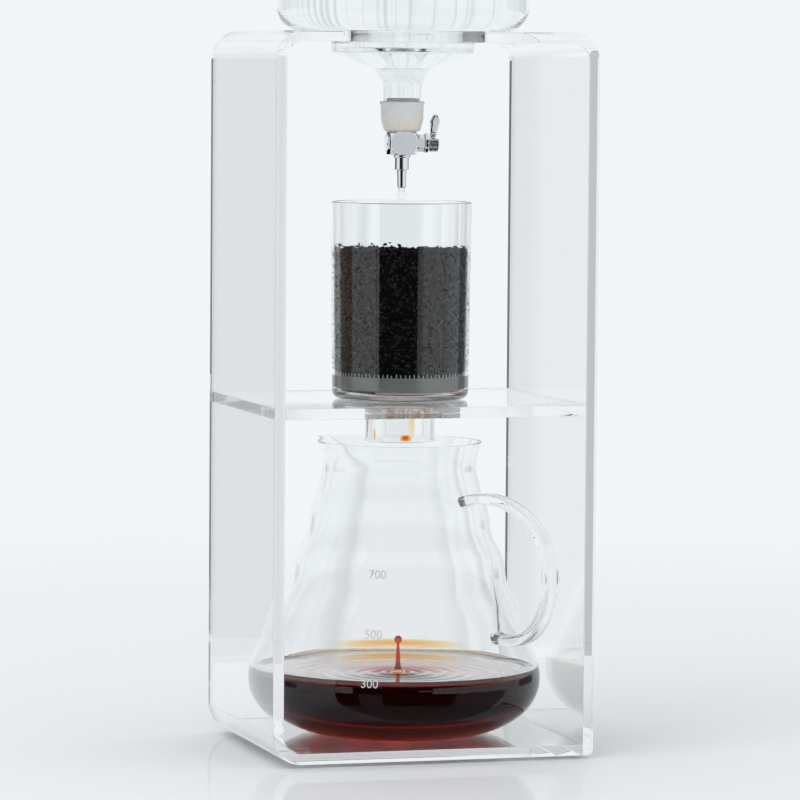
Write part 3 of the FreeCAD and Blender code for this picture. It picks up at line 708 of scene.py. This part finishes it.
def room_rise(tree, way):
    """How the room darkens towards its ceiling, on the camera's side and on the far side."""
    right = above(tree, way["X"], 0.0)
    lift = reckoned(tree, "MULTIPLY_ADD", right, RIGHT_WINDOW_DROP, way["Z"])
    return mixed(tree, above(tree, way["Y"], FAR_SIDE), by_rise(tree, lift, ROOM_RISE),
                 by_rise(tree, way["Z"], FRONT_RISE))


def mirrored_room(tree, way, turn):
    """What a mirror shows of the room."""
    rise = way["Z"]
    steep = reckoned(tree, "MAXIMUM", above(tree, rise, STEEP),
                     reckoned(tree, "LESS_THAN", rise, DIPPING))
    bands = mixed(tree, steep, by_heading(tree, turn, ROOM_BANDS),
                  by_heading(tree, turn, HIGH_BANDS))
    deep, grey = DEEP
    room = mixed(tree, reckoned(tree, "LESS_THAN", rise, deep),
                 multiplied(tree, bands, room_rise(tree, way)), (grey, grey, grey, 1))
    heading, low, high, shade = LOW_WINDOW
    strip = multiplied(tree, between(tree, rise, low, high),
                       above(tree, turn, heading_share(heading)))
    window = mixed(tree, strip, BLACK, (shade, shade, shade, 1))
    return mixed(tree, 1.0, room, window, "LIGHTEN")


def glazed_room(tree, way, turn):
    """What glass shows of the room by light that has been mirrored in it."""
    bands = mixed(tree, above(tree, way["Y"], FAR_SIDE), by_heading(tree, turn, BACK_BANDS),
                  by_heading(tree, turn, GLASS_BANDS))
    return mixed(tree, between(tree, way["Z"], *LEVEL_RAYS), WHITE, bands)


def room_light(world):
    """An even pale light.  Glass and metal also see the windows and the darker room."""
    settings = bpy.context.scene.drip_stage
    backdrop = (*settings.backdrop, 1)
    world.use_nodes = True
    tree = world.node_tree
    tree.nodes.clear()
    way = split(tree, add_node(tree, "ShaderNodeTexCoord").outputs["Generated"])
    heading = reckoned(tree, "ARCTAN2", way["X"], way["Y"])
    turn = ranged(tree, heading, -math.pi, math.pi)
    path = add_node(tree, "ShaderNodeLightPath").outputs
    in_glass = path["Is Transmission Ray"]
    seen = mixed(tree, in_glass, mirrored_room(tree, way, turn), glazed_room(tree, way, turn))
    was_mirrored = above(tree, path["Glossy Depth"], 0.5)
    seen = mixed(tree, was_mirrored, WHITE, seen)
    scale, detail = CURTAIN
    folds = add_node(tree, "ShaderNodeTexNoise", {
        "W": heading, "Scale": scale, "Detail": detail}, noise_dimensions="1D").outputs["Fac"]
    cloth = colour_ramp(tree, folds, [
        (0.3, settings.folds), (0.46, 1.0), (0.58, 1.0), (0.66, settings.folds)])
    seen = multiplied(tree, seen, mixed(tree, in_glass, WHITE, cloth))
    glossy = reckoned(tree, "MAXIMUM", path["Is Glossy Ray"], in_glass)
    plain = mixed(tree, path["Is Camera Ray"], WHITE, backdrop)
    visible = reckoned(tree, "MAXIMUM", glossy, path["Is Camera Ray"])
    sky = add_node(tree, "ShaderNodeBackground", {
        "Color": mixed(tree, glossy, plain, multiplied(tree, seen, backdrop)),
        "Strength": ranged(tree, visible, 0.0, 1.0, settings.daylight, 1.0)})
    add_node(tree, "ShaderNodeOutputWorld", {"Surface": sky.outputs["Background"]})


def glossy_white_table(settings):
    """The table, pale with a faint mirror in it, which fades into the backdrop further out."""
    material, tree, shader = new_material("glossy_white_table")
    set_inputs(shader, Base_Color=(*settings.table, 1), Specular_IOR_Level=0.0)
    add_smudges(tree, shader, 3.0, 0.4, 0.5)
    mirror = add_node(tree, "ShaderNodeBsdfGlossy", {"Color": WHITE, "Roughness": 0.05})
    polished = add_node(tree, "ShaderNodeMixShader", {
        0: settings.table_gloss, 1: shader.outputs["BSDF"], 2: mirror.outputs["BSDF"]})
    path = add_node(tree, "ShaderNodeLightPath").outputs
    mirrored = reckoned(tree, "SUBTRACT", path["Is Glossy Ray"], path["Is Transmission Ray"],
                        use_clamp=True)
    away = add_node(tree, "ShaderNodeVectorMath", {0: object_place(tree)},
                    operation="LENGTH").outputs["Value"]
    far_glass = multiplied(tree, above(tree, away, TABLE_REACH), path["Is Transmission Ray"])
    fading = ranged(tree, away, *TABLE_FADE, interpolation_type="SMOOTHSTEP")
    far_view = multiplied(tree, fading, path["Is Camera Ray"])
    hidden = reckoned(tree, "MAXIMUM", far_glass, far_view)
    clear = add_node(tree, "ShaderNodeBsdfTransparent")
    surface = add_node(tree, "ShaderNodeMixShader", {
        0: reckoned(tree, "MAXIMUM", mirrored, hidden), 1: polished.outputs["Shader"],
        2: clear.outputs["BSDF"]})
    set_inputs(tree.nodes["Material Output"], Surface=surface.outputs["Shader"])
    return material


class DRIP_OT_stage(bpy.types.Operator):
    """Table, daylight, soft lamp and camera"""
    bl_idname = "drip.stage"
    bl_label = "Stage"

    glass_bounces = 64       # light passes through dozens of walls here
    mirror_bounces = 48
    table_half = 12.0        # metres
    lamp_place = (-1.1, -0.7, 1.9)
    lamp_aim = (0, 0, 0.2)
    lamp_width = 1.4
    sensor = 36.0            # millimetres
    view_range = (0.05, 60.0)

    def execute(self, context):
        scene = context.scene
        settings = scene.drip_stage
        scene.view_settings.view_transform = "Standard"
        scene.cycles.max_bounces = self.glass_bounces
        scene.cycles.transmission_bounces = self.glass_bounces
        scene.cycles.glossy_bounces = self.mirror_bounces
        self.add_table(settings)
        scene.world = scene.world or bpy.data.worlds.new("room")
        room_light(scene.world)
        self.add_lamp(settings)
        self.add_camera(scene, settings)
        return {"FINISHED"}

    def add_table(self, settings):
        top = bmesh.new()
        bmesh.ops.create_grid(top, x_segments=1, y_segments=1, size=self.table_half)
        mesh = bpy.data.meshes.new("table")
        top.to_mesh(mesh)
        top.free()
        table = bpy.data.objects.new("table", mesh)
        bpy.context.scene.collection.objects.link(table)
        mesh.materials.append(glossy_white_table(settings))

    def add_lamp(self, settings):
        light = bpy.data.lights.new("soft_lamp", "AREA")
        light.shape = "DISK"
        light.size = self.lamp_width
        light.energy = settings.lamp_power
        lamp = bpy.data.objects.new("soft_lamp", light)
        lamp.location = Vector(self.lamp_place)
        aim = Vector(self.lamp_aim) - lamp.location
        lamp.rotation_euler = aim.to_track_quat("-Z", "Y").to_euler()
        lamp.visible_glossy = False
        lamp.visible_transmission = False
        bpy.context.scene.collection.objects.link(lamp)

    def add_camera(self, scene, settings):
        lens = bpy.data.cameras.new("camera")
        lens.lens = settings.camera_lens
        lens.sensor_width = self.sensor
        lens.clip_start, lens.clip_end = self.view_range
        camera = bpy.data.objects.new("camera", lens)
        azimuth = math.radians(settings.camera_azimuth)
        away = Vector((math.sin(azimuth), -math.cos(azimuth), 0)) * settings.camera_distance
        turned = (
            Matrix.Rotation(azimuth, 4, "Z")
            @ Matrix.Rotation(math.radians(90 - settings.camera_pitch), 4, "X")
            @ Matrix.Rotation(math.radians(settings.camera_roll), 4, "Z"))
        camera.matrix_world = Matrix.Translation(AXIS + away + UP * settings.camera_height) @ turned
        scene.collection.objects.link(camera)
        scene.camera = camera


# ---- acrylic stand -------------------------------------------------------------------------
AIR_GAP = 0.05 * MM     # between clear pieces that touch, which keeps light's way through them


def eased_sheet(name, node, pulled_in=0.0):
    """A copy of an acrylic node with its faces joined up and its sharp edges eased."""
    shell = merged_copy(node)
    side = max(vert.co.x for vert in shell.verts) - 0.1 * MM
    for vert in shell.verts:
        if abs(vert.co.x) > side:
            vert.co.x -= math.copysign(pulled_in, vert.co.x)
    join_flat(shell, 1)
    ease_edges(shell, 50, bpy.context.scene.drip_acrylic.edge, segments=2)
    return finish_piece(name, shell, polished_acrylic(), "stand", [node])


def mark_sawn_hole(sheet):
    """The shelf's hole is left as it was sawn, with a painted reflection of the coffee seen through
    the shelf on its cut.
    """
    sheet.data.materials.append(sawn_edge())
    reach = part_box("brew_glass")[1].x - 2 * MM
    for face in sheet.data.polygons:
        upright = abs(face.normal.z) < 0.3
        if upright and off_axis(face.center).length < reach:
            face.material_index = 1


def spaced_copy(name, node, low_gap, high_gap, body):
    """A copy of an acrylic node that stands a hair off what it touches below or above."""
    low, high = span(node)
    shell = merged_copy(node)
    for vert in shell.verts:
        if vert.co.z > high - AIR_GAP:
            vert.co.z -= high_gap
        elif vert.co.z < low + AIR_GAP:
            vert.co.z += low_gap
    return finish_piece(name, shell, polished_acrylic(), body, [node])


class DRIP_OT_stand(bpy.types.Operator):
    """Bent acrylic frame, shelf and feet"""
    bl_idname = "drip.stand"
    bl_label = "Acrylic stand"

    def execute(self, context):
        eased_sheet("bent_frame_sheet", "bent_frame")
        mark_sawn_hole(eased_sheet("shelf_sheet", "shelf", AIR_GAP))
        for node in NODES:
            if node.startswith("foot_"):
                spaced_copy(node + "_disc", node, 0.0, AIR_GAP, "stand")
        return {"FINISHED"}


# ---- glassware -----------------------------------------------------------------------------
class DRIP_OT_glassware(bpy.types.Operator):
    """Water vessel, brew cylinder, jug and handle"""
    bl_idname = "drip.glassware"
    bl_label = "Glassware"

    cut_apart = 2 * MM
    lip_curl = 2.2           # how late on its way up the lip turns out

    def execute(self, context):
        """The long walls are cut across, which keeps their shading even up to the cuts."""
        for node, body, height in (
                ("water_vessel", "reservoir", context.scene.drip_water.level),
                ("brew_glass", "brew_cylinder", span("filter_rim")[0])):
            shell = spin_round(outline_of(node))
            cut(shell, UP * height, UP, SLACK)
            cut(shell, UP * (height + self.cut_apart), UP, SLACK)
            blown = finish_piece(node + "_blown", shell, blown_glass(), body, [node])
            if node == "water_vessel":
                wet_skin(blown, height)
        self.jug(context.scene)
        finish_piece("handle_drawn", merged_copy("server_handle"), blown_glass(), "server",
                     ["server_handle"], sharp=50.0)
        return {"FINISHED"}

    def jug(self, scene):
        """The jug, with its pouring lip drawn out of the round rim."""
        settings = scene.drip_glass
        shell = spin_round(outline_of("server_jug"), JUG_STEPS)
        rim = max(vert.co.z for vert in shell.verts)
        outwards = way_out(math.radians(settings.lip_azimuth))
        for vert in shell.verts:
            climb = (vert.co.z - rim + settings.lip_drop) / settings.lip_drop
            if climb > 0:
                aside = math.degrees(outwards.angle(off_axis(vert.co)))
                bulge = math.exp(-(aside / settings.lip_spread) ** 2)
                vert.co += outwards * settings.lip_reach * bulge * climb ** self.lip_curl
        blown = finish_piece("jug_blown", shell, blown_glass(), "server",
                             ["server_jug"])
        wet_skin(blown, scene.drip_coffee.level)


def wet_skin(piece, level):
    """Gives the inside of a round glass the wetted finish, up to the liquid's level."""
    piece.data.materials.append(wetted_glass())
    for face in piece.data.polygons:
        wall = face.normal.dot(off_axis(face.center).normalized()) < -0.02
        floor = face.normal.z > 0.6
        if (wall or floor) and face.center.z < level:
            face.material_index = 1


# ---- tap, bung, filter, lid ----------------------------------------------------------------
NODE_FINISH = (
    (milky_silicone, ("neck_bung", "filter_gasket")),
    (satin_steel, ("filter_rim", "filter_mesh")),
    (chrome_plate, ("inlet_shank", "tap_body", "end_plug", "gland_nut", "outlet_collar",
                    "nozzle_tip", "valve_spindle", "hub_screw", "lid_knob_screw")),
    (satin_chrome, ("lever_hub",)),
    (white_ptfe, ("end_washer", "gland_packing")),
    (ring_rubber, ("spindle_o_rings",)),
    (polished_acrylic, ("lid",)),
)


class DRIP_OT_fittings(bpy.types.Operator):
    """Finishes of the tap, the bung, the filter and the lid"""
    bl_idname = "drip.fittings"
    bl_label = "Fittings"

    def execute(self, context):
        for finish, nodes in NODE_FINISH:
            for node in nodes:
                for material_slot in NODES[node].material_slots:
                    material_slot.material = finish()
        spaced_copy("lid_knob_turned", "lid_knob", AIR_GAP, 0.0, "lid")
        self.lever()
        return {"FINISHED"}

    def lever(self):
        """The lever with its edges rounded over, as a polished casting has them."""
        shell = merged_copy("lever")
        join_flat(shell, 2)
        ease_edges(shell, 40, 0.6 * MM, segments=5, clamp=False)
        finish_piece("lever_polished", shell, chrome_plate(), "tap_lever", ["lever"],
                     sharp=50.0)


# ---- water ---------------------------------------------------------------------------------
class DRIP_OT_water(bpy.types.Operator):
    """Water in the vessel and its neck, and the drop under the nozzle"""
    bl_idname = "drip.water"
    bl_label = "Water"

    overlap = 0.12 * MM      # how far the water reaches into the glass
    air = 0.05 * MM          # between the water and the bung

    def execute(self, context):
        settings = context.scene.drip_water
        low = span("neck_bung")[1] + self.air
        points = fill_outline("water_vessel", low, settings.level, self.overlap)
        finish_piece("water_in_vessel", spin_round(outline(points)), water(), "reservoir",
                     sharp=60.0)
        self.drop(settings)
        return {"FINISHED"}

    def drop(self, settings):
        """A pear shape that hangs from the nozzle's end."""
        top = span("nozzle_tip")[0]
        length, radius = settings.drop_length, settings.drop_radius
        neck, waist = radius * 0.78, 0.12 * radius
        belly = top - length + radius
        steps = 10
        points = [(0.0, top), (neck, top)]
        for index in range(1, steps):
            share = index / steps
            width = neck - waist * math.sin(math.pi * min(1, share * 1.6))
            blend = max(0.0, share - 0.3) / 0.7
            width += (radius - width) * blend ** 1.4 * (3 - 2 * blend)
            points.append((min(width, radius), top + (belly - top) * share))
        for index in range(steps + 1):
            angle = math.pi / 2 * index / steps
            points.append((radius * math.cos(angle), belly - radius * math.sin(angle)))
        points[-1] = (0.0, top - length)
        finish_piece("hanging_drop", spin_round(outline(points), 48), water(), "reservoir",
                     sharp=80.0)


# ---- coffee grounds ------------------------------------------------------------------------
class DRIP_OT_grounds(bpy.types.Operator):
    """Bed of ground coffee with loose grains on it, and what wets the filter"""
    bl_idname = "drip.grounds"
    bl_label = "Coffee grounds"

    soak = 0.1 * MM          # how far wet grounds and liquid reach into the glass's skin
    air = 0.05 * MM          # between the grounds or the liquid and the metal
    cup_wall = 0.65 * MM     # from the filter cup's outside to the grounds
    notch_depth = 1.4 * MM   # where the mesh's ends keep the grounds off the glass
    notch_height = 1.6 * MM
    notch_slope = 0.6 * MM
    hollow = 0.3 * MM        # how far the grounds stand off the glass between their spots on it
    cover_depth = 0.5 * MM   # what is higher than this below the bed's top is lumpy
    ring_rise = 1.2 * MM     # where the moisture starts above the cup's foot

    def execute(self, context):
        settings = context.scene.drip_coffee
        self.radius_at = wall_finder("brew_glass")
        self.cup_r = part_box("filter_rim")[1].x
        self.cup_low, self.cup_top = span("filter_rim")
        self.bed(settings)
        self.loose_grains(settings)
        self.wet_ring()
        self.fringe()
        return {"FINISHED"}

    def bed(self, settings):
        top = settings.grounds_top
        cup_r = self.cup_r - self.cup_wall
        notch_r = self.radius_at(self.cup_top) - self.notch_depth
        notch_top = self.cup_top + self.notch_height
        side_low = notch_top + self.notch_slope
        low = span("filter_mesh")[1] + self.air
        points = [(0.0, low), (cup_r, low), (cup_r, self.cup_top), (notch_r, self.cup_top),
                  (notch_r, notch_top)]
        steps = 100
        for index in range(steps + 1):
            height = side_low + (top - side_low) * index / steps
            points.append((self.radius_at(height) + self.soak, height))
        lead_in(points, top, 24)
        shell = spin_round(outline(points), 400)
        for vert in shell.verts:
            if vert.co.z > top - self.cover_depth:
                vert.co.z += self.lumps(vert.co)
            elif vert.co.z > side_low:
                touch = min(1.0, max(0.0, noise.noise(vert.co * 850.0) - 0.12) * 20)
                gap = (self.soak + self.hollow) * (1 - touch)
                vert.co -= off_axis(vert.co).normalized() * gap
        finish_piece("grounds_bed", shell, coffee_grounds(), "brew_cylinder",
                     sharp=80.0)

    def lumps(self, place):
        """How much higher the bed's top is at a place, by its hills and by its grains."""
        hills = noise.noise(place * 60.0) * 0.8 * MM
        return hills + noise.noise(place * 420.0) * 0.7 * MM

    def loose_grains(self, settings):
        """Grains on the bed; every fourth lies at the glass, and some of those stick higher."""
        draw = random.Random(7)
        heap = bmesh.new()
        rim = self.radius_at(settings.grounds_top)
        for index in range(settings.grain_count):
            on_wall = index % 4 == 0
            heading = draw.uniform(0, math.tau)
            out = rim - 0.6 * MM if on_wall else (rim - MM) * math.sqrt(draw.random())
            place = AXIS + way_out(heading) * out
            place.z = settings.grounds_top
            place.z += self.lumps(place) + draw.uniform(-0.2, 0.9) * MM
            if on_wall and index % 24 == 0:
                place.z += draw.random() * 2.5 * MM
            size = settings.grain * draw.uniform(0.35, 0.75)
            turn = Matrix.Rotation(draw.uniform(0, math.tau), 4, "X") @ Matrix.Rotation(
                draw.uniform(0, math.tau), 4, "Z")
            shape = Matrix.Diagonal((size, size * 0.7, size * 0.45, 1))
            grain = bmesh.ops.create_icosphere(
                heap, subdivisions=1, radius=1.0, matrix=Matrix.Translation(place) @ turn @ shape)
            for vert in grain["verts"]:
                vert.co += (vert.co - place) * draw.uniform(-0.3, 0.3)
        finish_piece("loose_grains", heap, coffee_grounds(), "brew_cylinder",
                     sharp=20.0)

    def wet_ring(self):
        """Liquid between the filter cup and the glass."""
        cup_r = self.cup_r - self.air
        low = self.cup_low + self.ring_rise
        high = self.cup_top - self.air
        shell = spin_round(outline([
            (cup_r, low), (self.radius_at(low) + self.soak, low),
            (self.radius_at(high) + self.soak, high), (cup_r, high)], closed=True))
        finish_piece("filter_moisture", shell, water(), "brew_cylinder", sharp=30.0)

    def fringe(self):
        """The mesh's cut ends, a ragged white crown above the cup's edge, made white so that it
        also gives the bright glints along that edge: partly a painted highlight.
        """
        draw = random.Random(3)
        count, thick = 92, 0.24 * MM
        out = self.radius_at(self.cup_top) - 0.3 * MM
        crown = bmesh.new()
        for index in range(count):
            heading = math.tau * index / count
            lean = math.radians(draw.uniform(-0.9, 0.9))
            foot, tip = [
                AXIS + way_out(angle) * out + UP * (self.cup_top + rise) for angle, rise in (
                    (heading, 0.1 * MM), (heading + lean, draw.uniform(1.2, 2.0) * MM))]
            turned = (tip - foot).to_track_quat("Z", "Y").to_matrix().to_4x4()
            bmesh.ops.create_cone(
                crown, cap_ends=True, segments=6, radius1=thick, radius2=thick * 0.7,
                depth=(tip - foot).length, matrix=Matrix.Translation((tip + foot) / 2) @ turned)
        # the white finish makes the crown a painted highlight as well as the mesh's ends
        finish_piece("mesh_fringe_glints", crown, white_ptfe(), "brew_cylinder", sharp=50.0)


# ---- brewed coffee -------------------------------------------------------------------------
class DRIP_OT_coffee(bpy.types.Operator):
    """Brewed coffee in the jug, its ripples and splash, and the streaks above it"""
    bl_idname = "drip.coffee"
    bl_label = "Brewed coffee"

    overlap = 0.12 * MM      # how far the coffee reaches into the glass
    curl = 1.3 * MM          # how far the coffee's edge climbs the glass
    curl_width = 3.2 * MM
    wave = 7.0 * MM          # from one ring to the next
    spread = 16 * MM         # how far out the rings last

    def execute(self, context):
        settings = context.scene.drip_coffee
        centre = AXIS + Vector((settings.splash_x, settings.splash_y, 0))
        self.pool(settings, centre)
        self.splash(settings, centre)
        self.streaks(settings)
        return {"FINISHED"}

    def pool(self, settings, centre):
        """The coffee, with rings round the splash and an edge that climbs the glass."""
        radius_at = wall_finder("server_jug")
        level = settings.level
        inside = AXIS + UP * span("server_jug")[1]
        floor = ray_tree("server_jug").ray_cast(inside, -UP)[0].z
        points = [(0.0, floor - self.overlap)]
        steps = 44
        for index in range(steps + 1):
            share = (index / steps) ** 2
            height = floor + 0.02 * MM + (level + self.curl - floor) * share
            points.append((radius_at(height) + self.overlap, height))
        edge = points[-1][0]
        for index in range(1, 7):
            away = index / 6
            points.append((edge - away * self.curl_width, level + self.curl * (1 - away) ** 3))
        lead_in(points, level, 60)
        shell = spin_round(outline(points), 200)
        for vert in shell.verts:
            if abs(vert.co.z - level) < SLACK:
                away = (vert.co - centre).xy.length
                vert.co.z += settings.ripple * math.cos(math.tau * away / self.wave) * math.exp(
                    -away / self.spread)
        finish_piece("coffee_in_jug", shell, brewed_coffee(), "server", sharp=70.0)

    def splash(self, settings, centre):
        """A thin jet that stands on a flared foot and ends in a bead."""
        sunk, foot, foot_height = 0.4 * MM, 4.4 * MM, 5.2 * MM
        stem, bead = 1.15 * MM, 1.85 * MM
        low = settings.level - sunk
        top = settings.level + settings.jet_height - 2 * bead
        points = [(0.0, low), (4.2 * MM, low)]
        for index in range(1, 13):
            share = index / 12
            points.append((foot * (1 - share) ** 1.8 + stem, low + foot_height * share ** 1.5))
        base = points[-1][1]
        for index in range(1, 12):
            share = index / 11
            width = stem - 0.6 * MM * share ** 0.8
            width += 0.25 * MM * math.exp(-((share - 0.45) / 0.14) ** 2)
            points.append((width, base + (top - base) * share))
        for index in range(1, 12):
            angle = math.pi * (0.16 + 0.84 * index / 11)
            points.append((bead * math.sin(angle), top + bead - bead * math.cos(angle)))
        points[-1] = (0.0, top + 2 * bead)
        shell = spin_round(outline(points), 32)
        bmesh.ops.translate(shell, verts=shell.verts, vec=centre - AXIS)
        finish_piece("coffee_splash", shell, brewed_coffee(), "server", sharp=70.0)

    def streaks(self, settings):
        """Thin coffee that clings to the glass of the jug, the outlet tube and the cylinder."""
        level, film = settings.level, coffee_film()
        smear("coffee_edge", "server_jug", 74, 34, level + 1.6 * MM, level + 5.6 * MM, 0.4 * MM,
              film, "server")
        low = span("brew_glass")[0] + 0.6 * MM
        # On the outlet tube: headings and half turns in degrees.
        for name, heading, half_turn, height, thickness, narrowing in (
                ("streak_left", 172, 12, 20 * MM, 0.7 * MM, 0.5),
                ("streak_short", -154, 3, 6 * MM, 0.4 * MM, 0.3),
                ("streak_right", -86, 8, 20 * MM, 0.2 * MM, 0.2),
                ("streak_bead", -96, 13, 3.0 * MM, 1.3 * MM, 0.3)):
            smear(name, "brew_glass", heading, half_turn, low, low + height, thickness, film,
                  "brew_cylinder", narrowing)
        floor = span("filter_gasket")[0]
        # Above the cylinder's floor.
        for name, heading, half_turn in (("seep_left", -139, 11), ("seep_right", -49, 18)):
            smear(name, "brew_glass", heading, half_turn, floor + 0.3 * MM, floor + 1.7 * MM,
                  0.6 * MM, film, "brew_cylinder")
        smear("settled_fines", "brew_glass", -152, 24, floor + 0.1 * MM, floor + 1.7 * MM,
              0.6 * MM, coffee_grounds(), "brew_cylinder")


# ---- volume marks --------------------------------------------------------------------------
class DRIP_OT_marks(bpy.types.Operator):
    """Plain volume numbers printed on the jug"""
    bl_idname = "drip.marks"
    bl_label = "Volume marks"

    marks = (("700", 84.0), ("500", 57.9), ("300", 36.6))     # heights in millimetres
    heading = math.radians(-117.5)
    letter_size = 3.9 * MM * 1.4
    half_depth = 0.02        # of a letter, in millimetres
    lift = 0.03              # of its middle off the glass, in millimetres

    def execute(self, context):
        radius_at = wall_finder("server_jug")
        for text, height in self.marks:
            shell = self.number(text)
            for vert in shell.verts:
                level = height * MM + vert.co.y
                radius = radius_at(level, self.heading, outside=True)
                angle = self.heading + vert.co.x / radius
                vert.co = round_place(radius + (self.lift + vert.co.z) * MM, angle, level)
            finish_piece("mark_" + text, shell, grey_print(), "server")
        return {"FINISHED"}

    def number(self, text):
        letters = bpy.data.curves.new("number", "FONT")
        letters.body = text
        letters.size = self.letter_size
        letters.align_x = "CENTER"
        letters.align_y = "CENTER"
        letters.extrude = self.half_depth
        holder = bpy.data.objects.new("number", letters)
        bpy.context.scene.collection.objects.link(holder)
        drawn = bpy.data.meshes.new_from_object(holder)
        shell = bmesh.new()
        shell.from_mesh(drawn)
        bmesh.ops.remove_doubles(shell, verts=shell.verts, dist=SLACK)
        bpy.data.objects.remove(holder)
        bpy.data.curves.remove(letters)
        bpy.data.meshes.remove(drawn)
        return shell


# ---- panel and registration ----------------------------------------------------------------
OPERATORS = [
    DRIP_OT_stage, DRIP_OT_stand, DRIP_OT_glassware, DRIP_OT_fittings, DRIP_OT_water,
    DRIP_OT_grounds, DRIP_OT_coffee, DRIP_OT_marks]


class DRIP_PT_tower(bpy.types.Panel):
    """Lists the sizes and the pieces of the drip tower"""
    bl_idname = "DRIP_PT_tower"
    bl_label = "Cold drip tower"
    bl_space_type = "VIEW_3D"
    bl_region_type = "UI"
    bl_category = "Drip Tower"

    def draw(self, context):
        for name, group in SETTINGS.items():
            box = self.layout.box()
            for setting in group.__annotations__:
                box.prop(getattr(context.scene, name), setting)
        for operator in OPERATORS:
            self.layout.operator(operator.bl_idname)


CLASSES = [*SETTINGS.values(), *OPERATORS, DRIP_PT_tower]


def register():
    for each in CLASSES:
        bpy.utils.register_class(each)
    for name, group in SETTINGS.items():
        setattr(bpy.types.Scene, name, PointerProperty(type=group))


def unregister():
    for name in SETTINGS:
        delattr(bpy.types.Scene, name)
    for each in reversed(CLASSES):
        bpy.utils.unregister_class(each)


def main():
    register()
    for operator in OPERATORS:
        getattr(bpy.ops.drip, operator.bl_idname.split(".")[1])()


if __name__ == "__main__":
    main()
